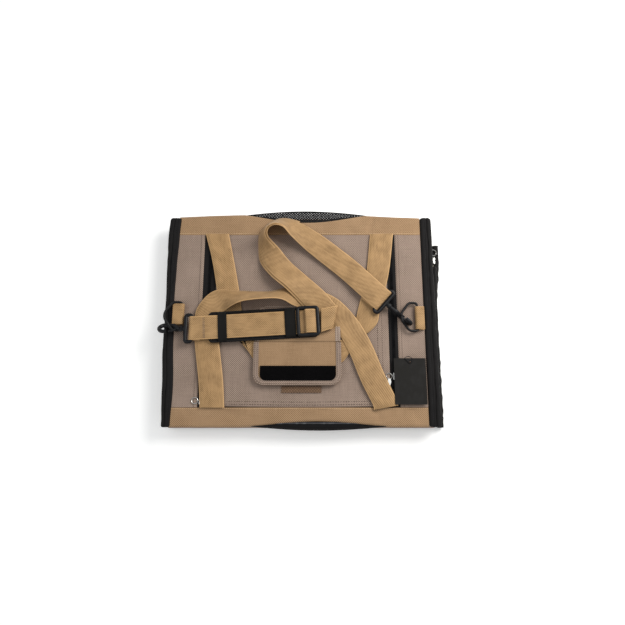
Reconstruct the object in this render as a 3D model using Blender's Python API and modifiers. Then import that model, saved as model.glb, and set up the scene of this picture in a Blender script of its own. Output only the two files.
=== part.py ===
"""Soft-sided pet carrier that folds flat, with its shoulder strap laid on top.

Frame: origin on the floor under the middle of the base, X along the length, +Y to the rear, +Z up.
The carrier is modelled folded. Every moving piece hangs on an empty that sits on its joint's axis.
All lengths below are in millimetres and are turned into metres by mm().
"""
import math

import bmesh
import bpy
from mathutils import Matrix, Vector

# ---------------------------------------------------------------- driving dimensions (mm)
LENGTH = 428.0              # top panel, end to end
DEPTH = 344.0               # top panel, front to rear
HALF_WALL = 150.0           # one half of a folding long wall
HINGE_STEP = 4.0            # height between the three hinge lines of a folded wall
WALL_THICK = 3.5
WALL_LENGTH = 420.0
WALL_HINGE_Y = 168.0
BASE_HINGE_Z = 19.75
WEBBING = 38.0
WEBBING_THICK = 1.4
TAB_WIDTH = 34.0
TOP_Z = 31.2                # underside of the top fabric
TOP_FACE = 33.4             # upper face of the top fabric
ZIP_FACE = 32.4             # upper face of the sunk zip tapes
PULL_Z = 34.3               # pull rings lying on the top
STRIP_Y = 142.3             # where the tan strips start, front and rear
LEFT_BINDING_X = -200.0     # inner edge of the left binding
RIGHT_BINDING_X = 195.0     # inner edge of the right binding
ZIP_LEFT = (-159.5, -139.0)
ZIP_RIGHT = (138.0, 152.0)
GAP = 0.3                   # between pieces that touch
END_LENGTH = 210.0          # how far an end door reaches from its hinge
END_WIDTH = 312.0
LEFT_END_HINGE = (-214.0, 0.0, 4.9)
RIGHT_END_HINGE = (219.0, 0.0, 4.2)
LEFT_BAR = (-190.0, 1.0, 38.0)      # the left D-ring's straight bar
RIGHT_BAR = (183.5, 0.0, 37.6)      # the right D-ring's straight bar
RING_WIRE = 2.0
LEFT_RING_TILT = 15.0
RIGHT_RING_TILT = 8.6
LEFT_HOOK = (-209.0, -20.0, 43.6)   # middle of the left hook's jaw
RIGHT_HOOK = (161.0, -2.5, 42.2)    # middle of the right hook's jaw
RIGHT_HOOK_HEADING = 138.7          # from the jaw to the webbing, in degrees
HOOK_WIRE = 2.2
LEFT_FRAME = (27.0, 36.0)           # from the left jaw to its webbing frame's two bars
RIGHT_FRAME = (36.5, 44.0)
FRAME_HALF = 21.6                   # half the length of a frame's bars
STRAP_TURN = 3.4                    # the padded length lies this many degrees off the X axis
PAD_LENGTH = 172.0
PAD_WIDTH = 49.0

TAUPE = (0.30, 0.22, 0.17)
TAN = (0.36, 0.22, 0.12)
WEB_TAN = (0.42, 0.25, 0.11)
BLACK = (0.012, 0.012, 0.013)
SILVER = (0.60, 0.60, 0.58)

# ---------------------------------------------------------------- scene and helpers
for old in list(bpy.data.objects):
    bpy.data.objects.remove(old, do_unlink=True)


def collection(name):
    made = bpy.data.collections.get(name) or bpy.data.collections.new(name)
    if name not in bpy.context.scene.collection.children:
        bpy.context.scene.collection.children.link(made)
    return made


PARTS = collection("folding_pet_carrier")
CUTTERS = collection("cutters")
BODIES = {}


def mm(*values):
    """Millimetres to metres, as a Vector."""
    return Vector(values) * 0.001


def material(name, color, roughness, metallic=0.0):
    made = bpy.data.materials.new(name)
    made.use_nodes = True
    shader = made.node_tree.nodes["Principled BSDF"]
    shader.inputs["Base Color"].default_value = (*color, 1.0)
    shader.inputs["Roughness"].default_value = roughness
    shader.inputs["Metallic"].default_value = metallic
    return made


def body(name, pivot=(0.0, 0.0, 0.0), parent=None):
    """An empty on a joint's axis that carries one moving body."""
    made = bpy.data.objects.new(name + "_pivot", None)
    PARTS.objects.link(made)
    place = mm(*pivot)
    made.location = place
    if parent:
        made.parent = BODIES[parent][0]
        made.location = place - BODIES[parent][1]
    BODIES[name] = (made, place)


def add(name, mesh, look, owner):
    """Link a mesh whose points are in the carrier's frame, under its body's empty."""
    empty, place = BODIES[owner]
    for vertex in mesh.vertices:
        vertex.co = vertex.co - place
    mesh.materials.clear()
    mesh.materials.append(material(name, *look))
    made = bpy.data.objects.new(name, mesh)
    made.parent = empty
    PARTS.objects.link(made)
    return made


def mesh_from(work, name):
    bmesh.ops.recalc_face_normals(work, faces=work.faces)
    made = bpy.data.meshes.new(name)
    work.to_mesh(made)
    work.free()
    return made


def slab_mesh(name, low, high, corner=0.0, steps=3):
    """A box between two corners in millimetres, its upright edges rounded by corner."""
    work = bmesh.new()
    bmesh.ops.create_cube(work, size=1.0)
    size = Vector(high) - Vector(low)
    middle = (Vector(high) + Vector(low)) / 2
    bmesh.ops.scale(work, vec=size * 0.001, verts=work.verts)
    bmesh.ops.translate(work, vec=middle * 0.001, verts=work.verts)
    if corner:
        upright = [e for e in work.edges if abs(e.verts[0].co.z - e.verts[1].co.z) > 1e-6]
        bmesh.ops.bevel(
            work, geom=upright, offset=corner * 0.001, segments=steps, profile=0.5, affect="EDGES"
        )
    return mesh_from(work, name)


def slab(name, low, high, look, owner, corner=0.0):
    return add(name, slab_mesh(name, low, high, corner), look, owner)


def tube(name, points, radius, look, owner, closed=False):
    """A round wire through points in millimetres, as one welded mesh."""
    curve = bpy.data.curves.new(name, "CURVE")
    curve.dimensions = "3D"
    curve.bevel_depth = radius * 0.001
    curve.bevel_resolution = 2
    curve.use_fill_caps = True
    spline = curve.splines.new("POLY")
    spline.points.add(len(points) - 1)
    for point, place in zip(spline.points, points):
        point.co = (*mm(*place), 1.0)
    spline.use_cyclic_u = closed
    guide = bpy.data.objects.new(name, curve)
    PARTS.objects.link(guide)
    evaluated = guide.evaluated_get(bpy.context.evaluated_depsgraph_get())
    mesh = bpy.data.meshes.new_from_object(evaluated)
    bpy.data.objects.remove(guide, do_unlink=True)
    work = bmesh.new()
    work.from_mesh(mesh)
    bmesh.ops.remove_doubles(work, verts=work.verts, dist=1e-6)
    made = add(name, mesh_from(work, name), look, owner)
    made.data.shade_smooth()
    made.data.set_sharp_from_angle(angle=math.radians(50))
    return made


def ribbon(name, stations, width, look, owner, thickness=WEBBING_THICK):
    """Flat webbing: each station is its middle (x, y, z), the compass angle of its side, its bank."""
    work = bmesh.new()
    rows = []
    for x, y, z, azimuth, bank in stations:
        flat = math.cos(math.radians(bank))
        side = Vector((
            flat * math.cos(math.radians(azimuth)),
            flat * math.sin(math.radians(azimuth)),
            math.sin(math.radians(bank)),
        ))
        middle = Vector((x, y, z))
        rows.append([
            work.verts.new((middle - side * width / 2) * 0.001),
            work.verts.new((middle + side * width / 2) * 0.001),
        ])
    for first, second in zip(rows, rows[1:]):
        work.faces.new((first[0], first[1], second[1], second[0]))
    mesh = mesh_from(work, name)
    made = add(name, mesh, look, owner)
    solid = made.modifiers.new("thickness", "SOLIDIFY")
    solid.thickness = thickness * 0.001
    solid.offset = 0.0
    solid.use_even_offset = True
    return made


def cut_window(target, owner, low, high, corner=12.0):
    """Cut an opening through a panel with a rounded box."""
    cutter = bpy.data.objects.new(target.name + "_cutter", slab_mesh("cutter", low, high, corner))
    for vertex in cutter.data.vertices:
        vertex.co = vertex.co - BODIES[owner][1]
    cutter.parent = BODIES[owner][0]
    cutter.hide_render = True
    cutter.display_type = "WIRE"
    CUTTERS.objects.link(cutter)
    cut = target.modifiers.new("window", "BOOLEAN")
    cut.operation = "DIFFERENCE"
    cut.object = cutter


def ring_points(low, high, corner, z, steps=3):
    """A closed rounded rectangle at height z."""
    points = []
    corners = [(high[0], high[1], 0), (low[0], high[1], 90), (low[0], low[1], 180), (high[0], low[1], 270)]
    for x, y, start in corners:
        centre_x = x - math.copysign(corner, x - (low[0] + high[0]) / 2)
        centre_y = y - math.copysign(corner, y - (low[1] + high[1]) / 2)
        for step in range(steps + 1):
            turn = math.radians(start + 90 * step / steps)
            points.append((centre_x + corner * math.cos(turn), centre_y + corner * math.sin(turn), z))
    return points


def turned(points, about, degrees):
    """Turn points about a vertical axis through about."""
    spin = Matrix.Rotation(math.radians(degrees), 3, "Z")
    centre = Vector(about)
    return [tuple(centre + spin @ (Vector(point) - centre)) for point in points]


# ---------------------------------------------------------------- looks
FABRIC_TAUPE = (TAUPE, 0.9)
FABRIC_TAN = (TAN, 0.9)
FABRIC_BLACK = (BLACK, 0.85)
PLUSH = ((0.55, 0.48, 0.40), 1.0)
MESH_BLACK = (BLACK, 0.7)
BOARD = ((0.05, 0.05, 0.05), 0.6)
NYLON_WEB = (WEB_TAN, 0.8)
PLASTIC_BLACK = (BLACK, 0.4)
STEEL_BLACK = ((0.03, 0.03, 0.032), 0.35, 0.8)
STEEL_SILVER = (SILVER, 0.25, 1.0)
CARD = ((0.02, 0.02, 0.019), 0.7)
LEATHER = ((0.15, 0.08, 0.045), 0.6)

# ---------------------------------------------------------------- bodies and joint axes
TOP_HINGE_Z = BASE_HINGE_Z + 2 * HINGE_STEP
FOLD_Y = WALL_HINGE_Y - HALF_WALL
MID_HINGE_Z = BASE_HINGE_Z + HINGE_STEP

body("base")
body("rear_wall_lower", (0, WALL_HINGE_Y, BASE_HINGE_Z), "base")
body("rear_wall_upper", (0, FOLD_Y, MID_HINGE_Z), "rear_wall_lower")
body("top", (0, WALL_HINGE_Y, TOP_HINGE_Z), "rear_wall_upper")
body("front_wall_lower", (0, -WALL_HINGE_Y, BASE_HINGE_Z), "base")
body("front_wall_upper", (0, -FOLD_Y, MID_HINGE_Z), "front_wall_lower")
body("left_end", LEFT_END_HINGE, "base")
body("right_end", RIGHT_END_HINGE, "base")


# ---------------------------------------------------------------- base and inner pieces
def make_base():
    half = WALL_LENGTH / 2
    slab("base_cover", (-half, -159.5, 7.0), (half, 159.5, 8.6), FABRIC_BLACK, "base", 6)
    slab("base_board", (-205, -155, 8.9), (205, 155, 11.9), BOARD, "base", 6)
    slab("plush_mat", (-203, -153, 12.2), (203, 153, 19.2), PLUSH, "base", 25)
    for label, side in (("front", -1), ("rear", 1)):
        ends = [(-206, side * 165, 5.0), (206, side * 165, 5.0)]
        tube(label + "_base_piping", ends, 5.0, FABRIC_BLACK, "base")


def make_wall(label, side):
    """The two halves of one long wall, each a fabric panel with half of the mesh window in it."""
    half = WALL_LENGTH / 2
    layers = (
        ("lower", BASE_HINGE_Z + 0.25, 26.0, 8.0),
        ("upper", MID_HINGE_Z + 0.25, 12.0, 8.0),
    )
    for part, low_z, outer_rim, fold_rim in layers:
        owner = f"{label}_wall_{part}"
        high_z = low_z + WALL_THICK
        near, far = sorted((side * (FOLD_Y + GAP), side * (WALL_HINGE_Y - GAP)))
        panel = slab(f"{owner}_panel", (-half, near, low_z), (half, far, high_z), FABRIC_TAUPE, owner)
        rims = (side * (FOLD_Y + fold_rim), side * (WALL_HINGE_Y - outer_rim))
        near, far = sorted(rims)
        cut_window(panel, owner, (-112, near, low_z - 2), (112, far, high_z + 2))
        low = (-112 + GAP, near + GAP, low_z + 1)
        high = (112 - GAP, far - GAP, high_z - 1)
        slab(f"{owner}_mesh", low, high, MESH_BLACK, owner, 12.0)


def make_end(label, hinge, inward, low_z):
    """An end door folded under the base: a bound fabric frame round a mesh window."""
    owner = label + "_end"
    root = hinge[0] + inward * (GAP if label == "left" else 4.6)
    tip = hinge[0] + inward * END_LENGTH
    near, far = sorted((root, tip))
    edge = END_WIDTH / 2
    frame = slab(f"{owner}_frame", (near, -edge, low_z), (far, edge, low_z + 3), FABRIC_BLACK, owner, 20)
    near, far = sorted((root + inward * 30, tip - inward * 34))
    edge = edge - 32
    cut_window(frame, owner, (near, -edge, low_z - 2), (far, edge, low_z + 5), 30)
    low = (near + GAP, -edge + GAP, low_z + 1)
    high = (far - GAP, edge - GAP, low_z + 2)
    slab(f"{owner}_mesh", low, high, MESH_BLACK, owner, 30)


def make_right_end_edge():
    """The right end door's roped hinge edge, with its zip slider parked at the rear."""
    x, _, z = RIGHT_END_HINGE
    tube("right_end_rope", [(x, -170, z), (x, 128, z)], 4.0, FABRIC_BLACK, "right_end")
    slab("right_end_zip_slider", (x - 3, 100, 8.5), (x + 3, 112, 11.6), STEEL_SILVER, "right_end", 2)
    body("right_end_pull", (x, 112.6, 10.0), "right_end")
    ring = circle(x, 119.5, 5, 10.0)
    tube("right_end_pull_ring", ring, 0.8, STEEL_SILVER, "right_end_pull", closed=True)


# ---------------------------------------------------------------- top panel
def make_top():
    half = LENGTH / 2
    edge = DEPTH / 2
    left_inner = LEFT_BINDING_X + GAP
    right_inner = RIGHT_BINDING_X - GAP
    wire = ring_points((-206, -166), (206, 166), 14, 29.6)
    tube("top_frame_wire", wire, 1.3, STEEL_BLACK, "top", closed=True)
    for label, side in (("front", -1), ("rear", 1)):
        near, far = sorted((side * STRIP_Y, side * edge))
        low = (left_inner, near, TOP_Z)
        slab(label + "_strip", low, (right_inner, far, TOP_FACE), FABRIC_TAN, "top")
    reach = STRIP_Y - GAP
    low = (left_inner, -reach, TOP_Z)
    high = (ZIP_LEFT[0] - GAP, reach, TOP_FACE)
    slab("left_border_panel", low, high, FABRIC_TAUPE, "top")
    low = (ZIP_RIGHT[1] + GAP, -reach, TOP_Z)
    slab("right_border_panel", low, (right_inner, reach, TOP_FACE), FABRIC_TAUPE, "top")
    for label, span in (("left", ZIP_LEFT), ("right", ZIP_RIGHT)):
        low = (span[0], -reach, TOP_Z)
        slab(label + "_zip_tape", low, (span[1], reach, ZIP_FACE), FABRIC_BLACK, "top")
    low = (ZIP_LEFT[1] + GAP, -reach, TOP_Z)
    slab("top_door", low, (ZIP_RIGHT[0] - GAP, reach, TOP_FACE), FABRIC_TAUPE, "top")
    low = (-half, -edge, TOP_Z)
    slab("left_binding", low, (LEFT_BINDING_X, edge, 36.0), FABRIC_BLACK, "top", 3)
    low = (RIGHT_BINDING_X, -edge, TOP_Z)
    slab("right_binding", low, (half, edge, 36.4), FABRIC_BLACK, "top", 3)
    slab("brown_label", (-31, -120, TOP_FACE + GAP), (31, -109.5, 34.3), LEATHER, "top")
    make_window_rim("rear_window_rim", -97, 106, 168.5, 182, 1)
    make_window_rim("front_window_rim", -90, 145, 168.5, 177, -1)


def make_window_rim(name, left, right, inner, reach, side):
    """The mesh and piping of a wall's window where it bulges past the top's edge: a shallow arch."""
    work = bmesh.new()
    steps = 12
    outline = [(left, inner), (right, inner)]
    for step in range(1, steps):
        share = 1 - step / steps
        x = left + (right - left) * share
        outline.append((x, 170 + (reach - 170) * math.sin(math.pi * share)))
    ring = [work.verts.new(mm(x, side * y, 28.4)) for x, y in outline]
    face = work.faces.new(ring)
    raised = bmesh.ops.extrude_face_region(work, geom=[face])
    moved = [item for item in raised["geom"] if isinstance(item, bmesh.types.BMVert)]
    bmesh.ops.translate(work, vec=mm(0, 0, 2.4), verts=moved)
    add(name, mesh_from(work, name), MESH_BLACK, "top")


# ---------------------------------------------------------------- zip sliders and pulls
def make_zip_slider(label, x, y):
    """A slider that runs along its zip, with a pull ring hinged on its left side."""
    owner = label + "_zip"
    body(owner, (x, y, ZIP_FACE), "top")
    low = (x - 6, y - 5.5, ZIP_FACE + 0.1)
    slab(f"{owner}_slider", low, (x + 3, y + 5.5, 34.9), STEEL_SILVER, owner, 2)
    pull = label + "_pull"
    body(pull, (x - 7.1, y, PULL_Z), owner)
    ring = circle(x - 11.9, y, 4.8, PULL_Z)
    tube(pull + "_ring", ring, 0.6, STEEL_SILVER, pull, closed=True)


def circle(x, y, radius, z, steps=12):
    turns = [math.tau * step / steps for step in range(steps)]
    return [(x + radius * math.cos(turn), y + radius * math.sin(turn), z) for turn in turns]


# ---------------------------------------------------------------- handles
REAR_HANDLE_Z = 35.9
FRONT_HANDLE_Z = 37.6
REAR_HANDLE = [                       # lowest of the webbing, sewn in the rear seam
    (-139.5, 141, REAR_HANDLE_Z, 0, 0),
    (-128, 95, REAR_HANDLE_Z, -12, 0),
    (-118, 43, REAR_HANDLE_Z, -12, 0),
    (-112, 0, REAR_HANDLE_Z, -12, 0),
    (-104, -30, REAR_HANDLE_Z, -30, 0),
    (-84, -50, REAR_HANDLE_Z, -62, 0),
    (-55, -54, REAR_HANDLE_Z, -90, 0),
    (45, -56, REAR_HANDLE_Z, -90, 0),
    (80, -49, REAR_HANDLE_Z, -122, 0),
    (100, -20, REAR_HANDLE_Z, -157, 0),
    (107, 12, REAR_HANDLE_Z, -168, 0),
    (122, 72, REAR_HANDLE_Z, -170, 0),
    (131, 141, REAR_HANDLE_Z, -178, 0),
]
FRONT_HANDLE = [                      # over the rear handle, sewn in the front seam
    (-136.5, -141, 36.2, 180, 0),
    (-140, -100, 36.6, 182, 0),
    (-147, -44, FRONT_HANDLE_Z, 184, 0),
    (-149, -14, 37.8, 174, 0),
    (-143, 10, 38.2, 150, 0),
    (-124, 27.5, 39.2, 116, -4),
    (-92, 30, 50.2, 94, -42),
    (-55, 33, 49.6, 88, -50),
    (-30, 36, 47.5, 85, -40),
    (-12, 35.5, 41.6, 83, -15),
    (4, 33, 37.8, 80, 0),
    (44, 16, FRONT_HANDLE_Z, 58, 0),
    (72, -14, FRONT_HANDLE_Z, 40, 0),
    (92, -50, FRONT_HANDLE_Z, 26, 0),
    (110, -96, 37.0, 20, 0),
    (129, -141, 36.2, 10, 0),
]


def make_handles():
    ribbon("rear_handle", REAR_HANDLE, WEBBING, NYLON_WEB, "top")
    ribbon("front_handle", FRONT_HANDLE, WEBBING, NYLON_WEB, "top")
    slab("handle_wrap_sleeve", (-74, -40.3, 37.0), (44, -27, 40.6), FABRIC_TAN, "top", 3)
    body("wrap_flap", (0, -40.6, 40.9), "top")
    slab("handle_wrap_flap", (-75, -109, 37.0), (62, -40.9, 40.6), FABRIC_TAN, "wrap_flap", 16)
    slab("hook_and_loop_strip", (-64, -102, 40.9), (53, -79, 41.9), FABRIC_BLACK, "wrap_flap", 8)


# ---------------------------------------------------------------- D-rings and hooks
def d_ring(name, bar, inward, tilt, owner):
    """A trapezoid wire ring on its straight bar, pointing along inward and lifted by tilt."""
    outline = [(0, 23), (13.5, 23), (26, 5), (26, -5), (13.5, -23), (0, -23)]
    rise = math.tan(math.radians(tilt))
    points = [(bar[0] + inward * x, bar[1] + y, bar[2] + x * rise) for x, y in outline]
    tube(name, points, RING_WIRE, STEEL_BLACK, owner, closed=True)


def ring_tab(name, bar, sewn_x, shift=0.0):
    """Webbing that comes from the binding, goes round the ring's bar and back."""
    away = math.copysign(1.0, sewn_x - bar[0])
    reach = 3.2
    y = bar[1] + shift
    stations = [(sewn_x, y, 34.4, 90, 0), (bar[0], y, bar[2] - reach, 90, 0)]
    for step in range(1, 6):
        turn = math.radians(-90 + 180 * step / 6)
        x = bar[0] - away * reach * math.cos(turn)
        stations.append((x, y, bar[2] + reach * math.sin(turn), 90, 0))
    stations.append((bar[0], y, bar[2] + reach, 90, 0))
    stations.append((sewn_x, y, bar[2] + reach - 0.6, 90, 0))
    ribbon(name, stations, TAB_WIDTH, NYLON_WEB, "top")


def hook(label, jaw, heading, roll, bend, bars, owner):
    """A snap hook: a wire jaw with a round end of radius bend, its gate, and a frame with two bars."""
    along = Vector((math.cos(math.radians(heading)), math.sin(math.radians(heading)), 0))
    level = Vector((-along.y, along.x, 0))
    upright = Matrix.Rotation(math.radians(roll), 3, along) @ Vector((0, 0, 1))
    centre = Vector(jaw)

    def at(u, v):
        return tuple(centre + along * u + upright * v)

    centre_u = bend - 14
    far = [
        at(centre_u + bend * math.cos(turn), bend * math.sin(turn)) for turn in arc(270, 90, 6)
    ]
    path = [at(bars[0] - 2.6, 0), at(15, 0), at(10, -0.7 * bend), at(5, -bend)] + far + [at(centre_u + 4, bend)]
    tube(label + "_hook_jaw", path, HOOK_WIRE, PLASTIC_BLACK, owner)
    gate_root = at(11.5, 3.8)
    body(label + "_gate", gate_root, owner)
    gate = [gate_root, at(centre_u + 7.2, bend + 0.2)]
    tube(label + "_hook_gate", gate, 1.2, STEEL_SILVER, label + "_gate")
    frame = []
    for u, side in ((bars[0], 1), (bars[1], 1), (bars[1], -1), (bars[0], -1)):
        frame.append(tuple(centre + along * u + level * side * FRAME_HALF))
    tube(label + "_hook_frame", frame, 2.0, PLASTIC_BLACK, owner, closed=True)


def arc(start, stop, steps):
    """Angles in radians from start to stop, in degrees, going down."""
    return [math.radians(start - (start - stop) * step / steps) for step in range(steps + 1)]


def make_ends_hardware():
    ring_tab("left_ring_tab", LEFT_BAR, LEFT_BINDING_X + 0.8, 3.5)
    ring_tab("right_ring_tab", RIGHT_BAR, RIGHT_BINDING_X - 0.8)
    body("left_ring", LEFT_BAR, "top")
    d_ring("left_d_ring", LEFT_BAR, -1, LEFT_RING_TILT, "left_ring")
    body("right_ring", RIGHT_BAR, "top")
    d_ring("right_d_ring", RIGHT_BAR, -1, RIGHT_RING_TILT, "right_ring")
    body("left_hook", LEFT_HOOK, "top")
    hook("left", LEFT_HOOK, 0.0, 50.0, 8.0, LEFT_FRAME, "left_hook")
    hook("right", RIGHT_HOOK, RIGHT_HOOK_HEADING, 0.0, 6.3, RIGHT_FRAME, "right_ring")


# ---------------------------------------------------------------- shoulder strap
def strap_frame_bar(jaw, heading, reach):
    """The middle of the frame bar that the webbing goes round."""
    turn = math.radians(heading)
    return (jaw[0] + reach * math.cos(turn), jaw[1] + reach * math.sin(turn), jaw[2])


def hairpin(bar, heading, tail):
    """Stations from a sewn tail, round a bar, to the upper layer, leaving along heading."""
    turn = math.radians(heading)
    side = heading + 90
    reach = 3.2

    def at(u, z):
        return (bar[0] + u * math.cos(turn), bar[1] + u * math.sin(turn), z, side, 0)

    stations = [at(tail, bar[2] - 1.6), at(6, bar[2] - 2.6), at(0, bar[2] - reach)]
    for step in range(1, 6):
        bend = math.radians(-90 - 180 * step / 6)
        stations.append(at(reach * math.cos(bend), bar[2] + reach * math.sin(bend)))
    stations += [at(0, bar[2] + reach), at(6, bar[2] + 2.6)]
    return stations


PAD_START = (-146.0, -18.6)


def along_pad(distance, across=0.0):
    """A point of the padded length, measured from the pad's left end."""
    turn = math.radians(STRAP_TURN)
    x = PAD_START[0] + distance * math.cos(turn) - across * math.sin(turn)
    y = PAD_START[1] + distance * math.sin(turn) + across * math.cos(turn)
    return x, y


def pad_box(name, start, stop, width, low_z, high_z, look, owner, corner=0.0):
    """A slab that lies along the padded length."""
    mesh = slab_mesh(name, (start, -width / 2, low_z), (stop, width / 2, high_z), corner)
    place = Matrix.Translation(mm(*PAD_START, 0)) @ Matrix.Rotation(math.radians(STRAP_TURN), 4, "Z")
    mesh.transform(place)
    return add(name, mesh, look, owner)


LONG_WEBBING = [                      # from the slider, through the fold, the loop and back
    (31, -7.2, 46.6, 90, 0),
    (48, -3, 46.2, 80, 0),
    (53, -1, 43.6, 78, 0),
    (49, 1.5, 40.6, 76, 0),
    (34, 16, 40.1, 56, 0),
    (20, 31, 40.3, 48, 0),
    (-10, 57, 47.0, 45, -16),
    (-35, 80, 45.5, 40, -12),
    (-56, 104, 43.5, 30, 12),
    (-67, 126, 48.0, 12, 42),
    (-66, 145, 50.0, -22, 52),
    (-52, 157, 50.6, -62, 54),
    (-33, 158, 49.0, -86, 46),
    (-11, 148, 44.0, -112, 28),
    (18, 127, 39.2, -126, 8),
    (50, 101, 38.4, -128, 0),
    (80, 75, 39.2, -129, 0),
]


def make_strap():
    left_bar = strap_frame_bar(LEFT_HOOK, 0.0, LEFT_FRAME[1])
    stations = hairpin(left_bar, 0.0, 14)
    for distance, z in ((-4, 45.9), (12, 44.9), (150, 44.9), (170, 45.1)):
        stations.append((*along_pad(distance), z, 90 + STRAP_TURN, 0))
    ribbon("strap_padded_webbing", stations, WEBBING, NYLON_WEB, "top")

    body("pad", (*along_pad(PAD_LENGTH / 2), 42.5), "top")
    pad_box("shoulder_pad", 0, PAD_LENGTH, PAD_WIDTH, 41.1, 43.9, FABRIC_BLACK, "pad", 5)
    for label, start, stop in (("left", 15, 29), ("right", 120, 137)):
        pad_box(f"{label}_pad_keeper", start, stop, PAD_WIDTH - 2, 46.0, 47.2, FABRIC_BLACK, "pad")

    frame = []
    for u, side in ((141, 22), (172, 22), (172, -22), (141, -22)):
        frame.append((*along_pad(u, side), 48.6))
    tube("strap_slider", frame, 2.2, PLASTIC_BLACK, "top", closed=True)
    ends = [(*along_pad(155, 19.4), 48.6), (*along_pad(155, -19.4), 48.6)]
    tube("strap_slider_bar", ends, 1.8, PLASTIC_BLACK, "top")

    right_bar = strap_frame_bar(RIGHT_HOOK, RIGHT_HOOK_HEADING, RIGHT_FRAME[1])
    stations = list(LONG_WEBBING)
    for station in reversed(hairpin(right_bar, RIGHT_HOOK_HEADING, 26)):
        stations.append(station)
    ribbon("strap_long_webbing", stations, WEBBING, NYLON_WEB, "top")


# ---------------------------------------------------------------- hang tag
def make_tag():
    body("tag", (168, -66.5, 37.9), "top")
    slab("hang_tag_card", (143.5, -138.5, 37.6), (193, -66.5, 38.2), CARD, "tag", 1.5)


make_base()
make_wall("rear", 1)
make_wall("front", -1)
make_end("left", LEFT_END_HINGE, 1, 3.4)
make_end("right", RIGHT_END_HINGE, -1, 0.0)
make_right_end_edge()
make_top()
make_zip_slider("left", -151.5, -132)
make_zip_slider("right", 148.0, -94)
make_handles()
make_ends_hardware()
make_strap()
make_tag()
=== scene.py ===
"""Looks of a soft pet carrier folded flat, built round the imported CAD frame.

Every builder function takes millimetres in the carrier's own frame: X along the length, +Y to the rear,
+Z up, the floor at zero. MM turns them into metres when a mesh is made.
"""
import math

import bmesh
import bpy
from mathutils import Matrix, Vector, noise


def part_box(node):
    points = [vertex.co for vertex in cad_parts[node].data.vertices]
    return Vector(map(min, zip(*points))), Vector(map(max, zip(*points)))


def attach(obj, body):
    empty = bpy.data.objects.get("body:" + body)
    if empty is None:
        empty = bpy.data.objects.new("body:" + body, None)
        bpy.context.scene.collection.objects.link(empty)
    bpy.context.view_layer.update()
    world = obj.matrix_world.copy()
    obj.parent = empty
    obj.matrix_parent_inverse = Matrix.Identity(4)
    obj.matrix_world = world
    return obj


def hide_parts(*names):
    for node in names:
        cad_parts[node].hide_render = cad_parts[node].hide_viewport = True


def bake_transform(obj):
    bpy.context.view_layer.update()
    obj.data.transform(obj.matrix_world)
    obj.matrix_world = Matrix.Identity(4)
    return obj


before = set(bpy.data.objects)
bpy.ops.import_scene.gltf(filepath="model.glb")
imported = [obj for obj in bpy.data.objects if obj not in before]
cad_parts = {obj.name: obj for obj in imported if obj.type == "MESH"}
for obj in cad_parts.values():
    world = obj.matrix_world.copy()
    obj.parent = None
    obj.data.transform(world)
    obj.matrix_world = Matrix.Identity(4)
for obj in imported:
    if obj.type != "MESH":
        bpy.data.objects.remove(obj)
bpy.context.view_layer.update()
MM = 0.001


def sides(name):
    """A CAD node's box in millimetres: low and high X, low and high Y, low and high Z."""
    low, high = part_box(name)
    return [edge / MM for edge in (low.x, high.x, low.y, high.y, low.z, high.z)]


# ---------------------------------------------------------------- the frame's own sizes, in mm
TOP_FACE = sides("top_door")[5]                    # upper face of the top fabric
STRIP_Y, EDGE_Y = sides("rear_strip")[2:4]        # inner edge of the tan strips, and the top's own edge
LEFT_IN = sides("left_binding")[1]                # inner edges of the two end bindings
RIGHT_IN, HALF = sides("right_binding")[:2]
ZIP_LEFT = sides("left_zip_tape")[:2]
ZIP_RIGHT = sides("right_zip_tape")[:2]
ZIP_FACE = sides("left_zip_tape")[5]
DOOR = sides("top_door")[:2]
WEBBING = 38.0
WEBBING_THICK = 1.4
TAB_WIDTH = 34.0
BAR_REACH = 3.2                                   # middle of the webbing, from a bar that it goes round
LEFT_BAR = (-190.0, 1.0, 38.0)                    # straight bars of the two D-rings
RIGHT_BAR = (183.5, 0.0, 37.6)
LEFT_HOOK = (-209.0, -20.0, 43.6)                 # middles of the two hooks' jaws
RIGHT_HOOK = (161.0, -2.5, 42.2)
RIGHT_HOOK_HEADING = 138.7
LEFT_FRAME = (27.0, 36.0)                         # from a jaw to the two bars of its webbing frame
RIGHT_FRAME = (36.5, 44.0)
FRAME_HALF = 21.6
STRAP_TURN = 3.4                                  # the padded strap's slant on the top, in degrees
PAD_START = (-146.0, -18.6)
PAD_LENGTH = 172.0
PAD_WIDTH = 49.0


# ---------------------------------------------------------------- camera, light and floor
def set_camera():
    data = bpy.data.cameras.new("camera")
    data.sensor_width = 36.0
    data.lens = 37.67
    camera = bpy.data.objects.new("camera", data)
    camera.location = (0.0172, -0.2786, 1.0358)
    camera.rotation_euler = (math.radians(16.0), 0.0, 0.0)
    bpy.context.scene.collection.objects.link(camera)
    bpy.context.scene.camera = camera


def area_light(name, place, aim, size, power, color=(1.0, 1.0, 1.0)):
    data = bpy.data.lights.new(name, "AREA")
    data.shape = "DISK"
    data.size = size
    data.energy = power
    data.color = color
    lamp = bpy.data.objects.new(name, data)
    lamp.location = place
    lamp.rotation_euler = (Vector(aim) - Vector(place)).to_track_quat("-Z", "Y").to_euler()
    bpy.context.scene.collection.objects.link(lamp)


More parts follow.
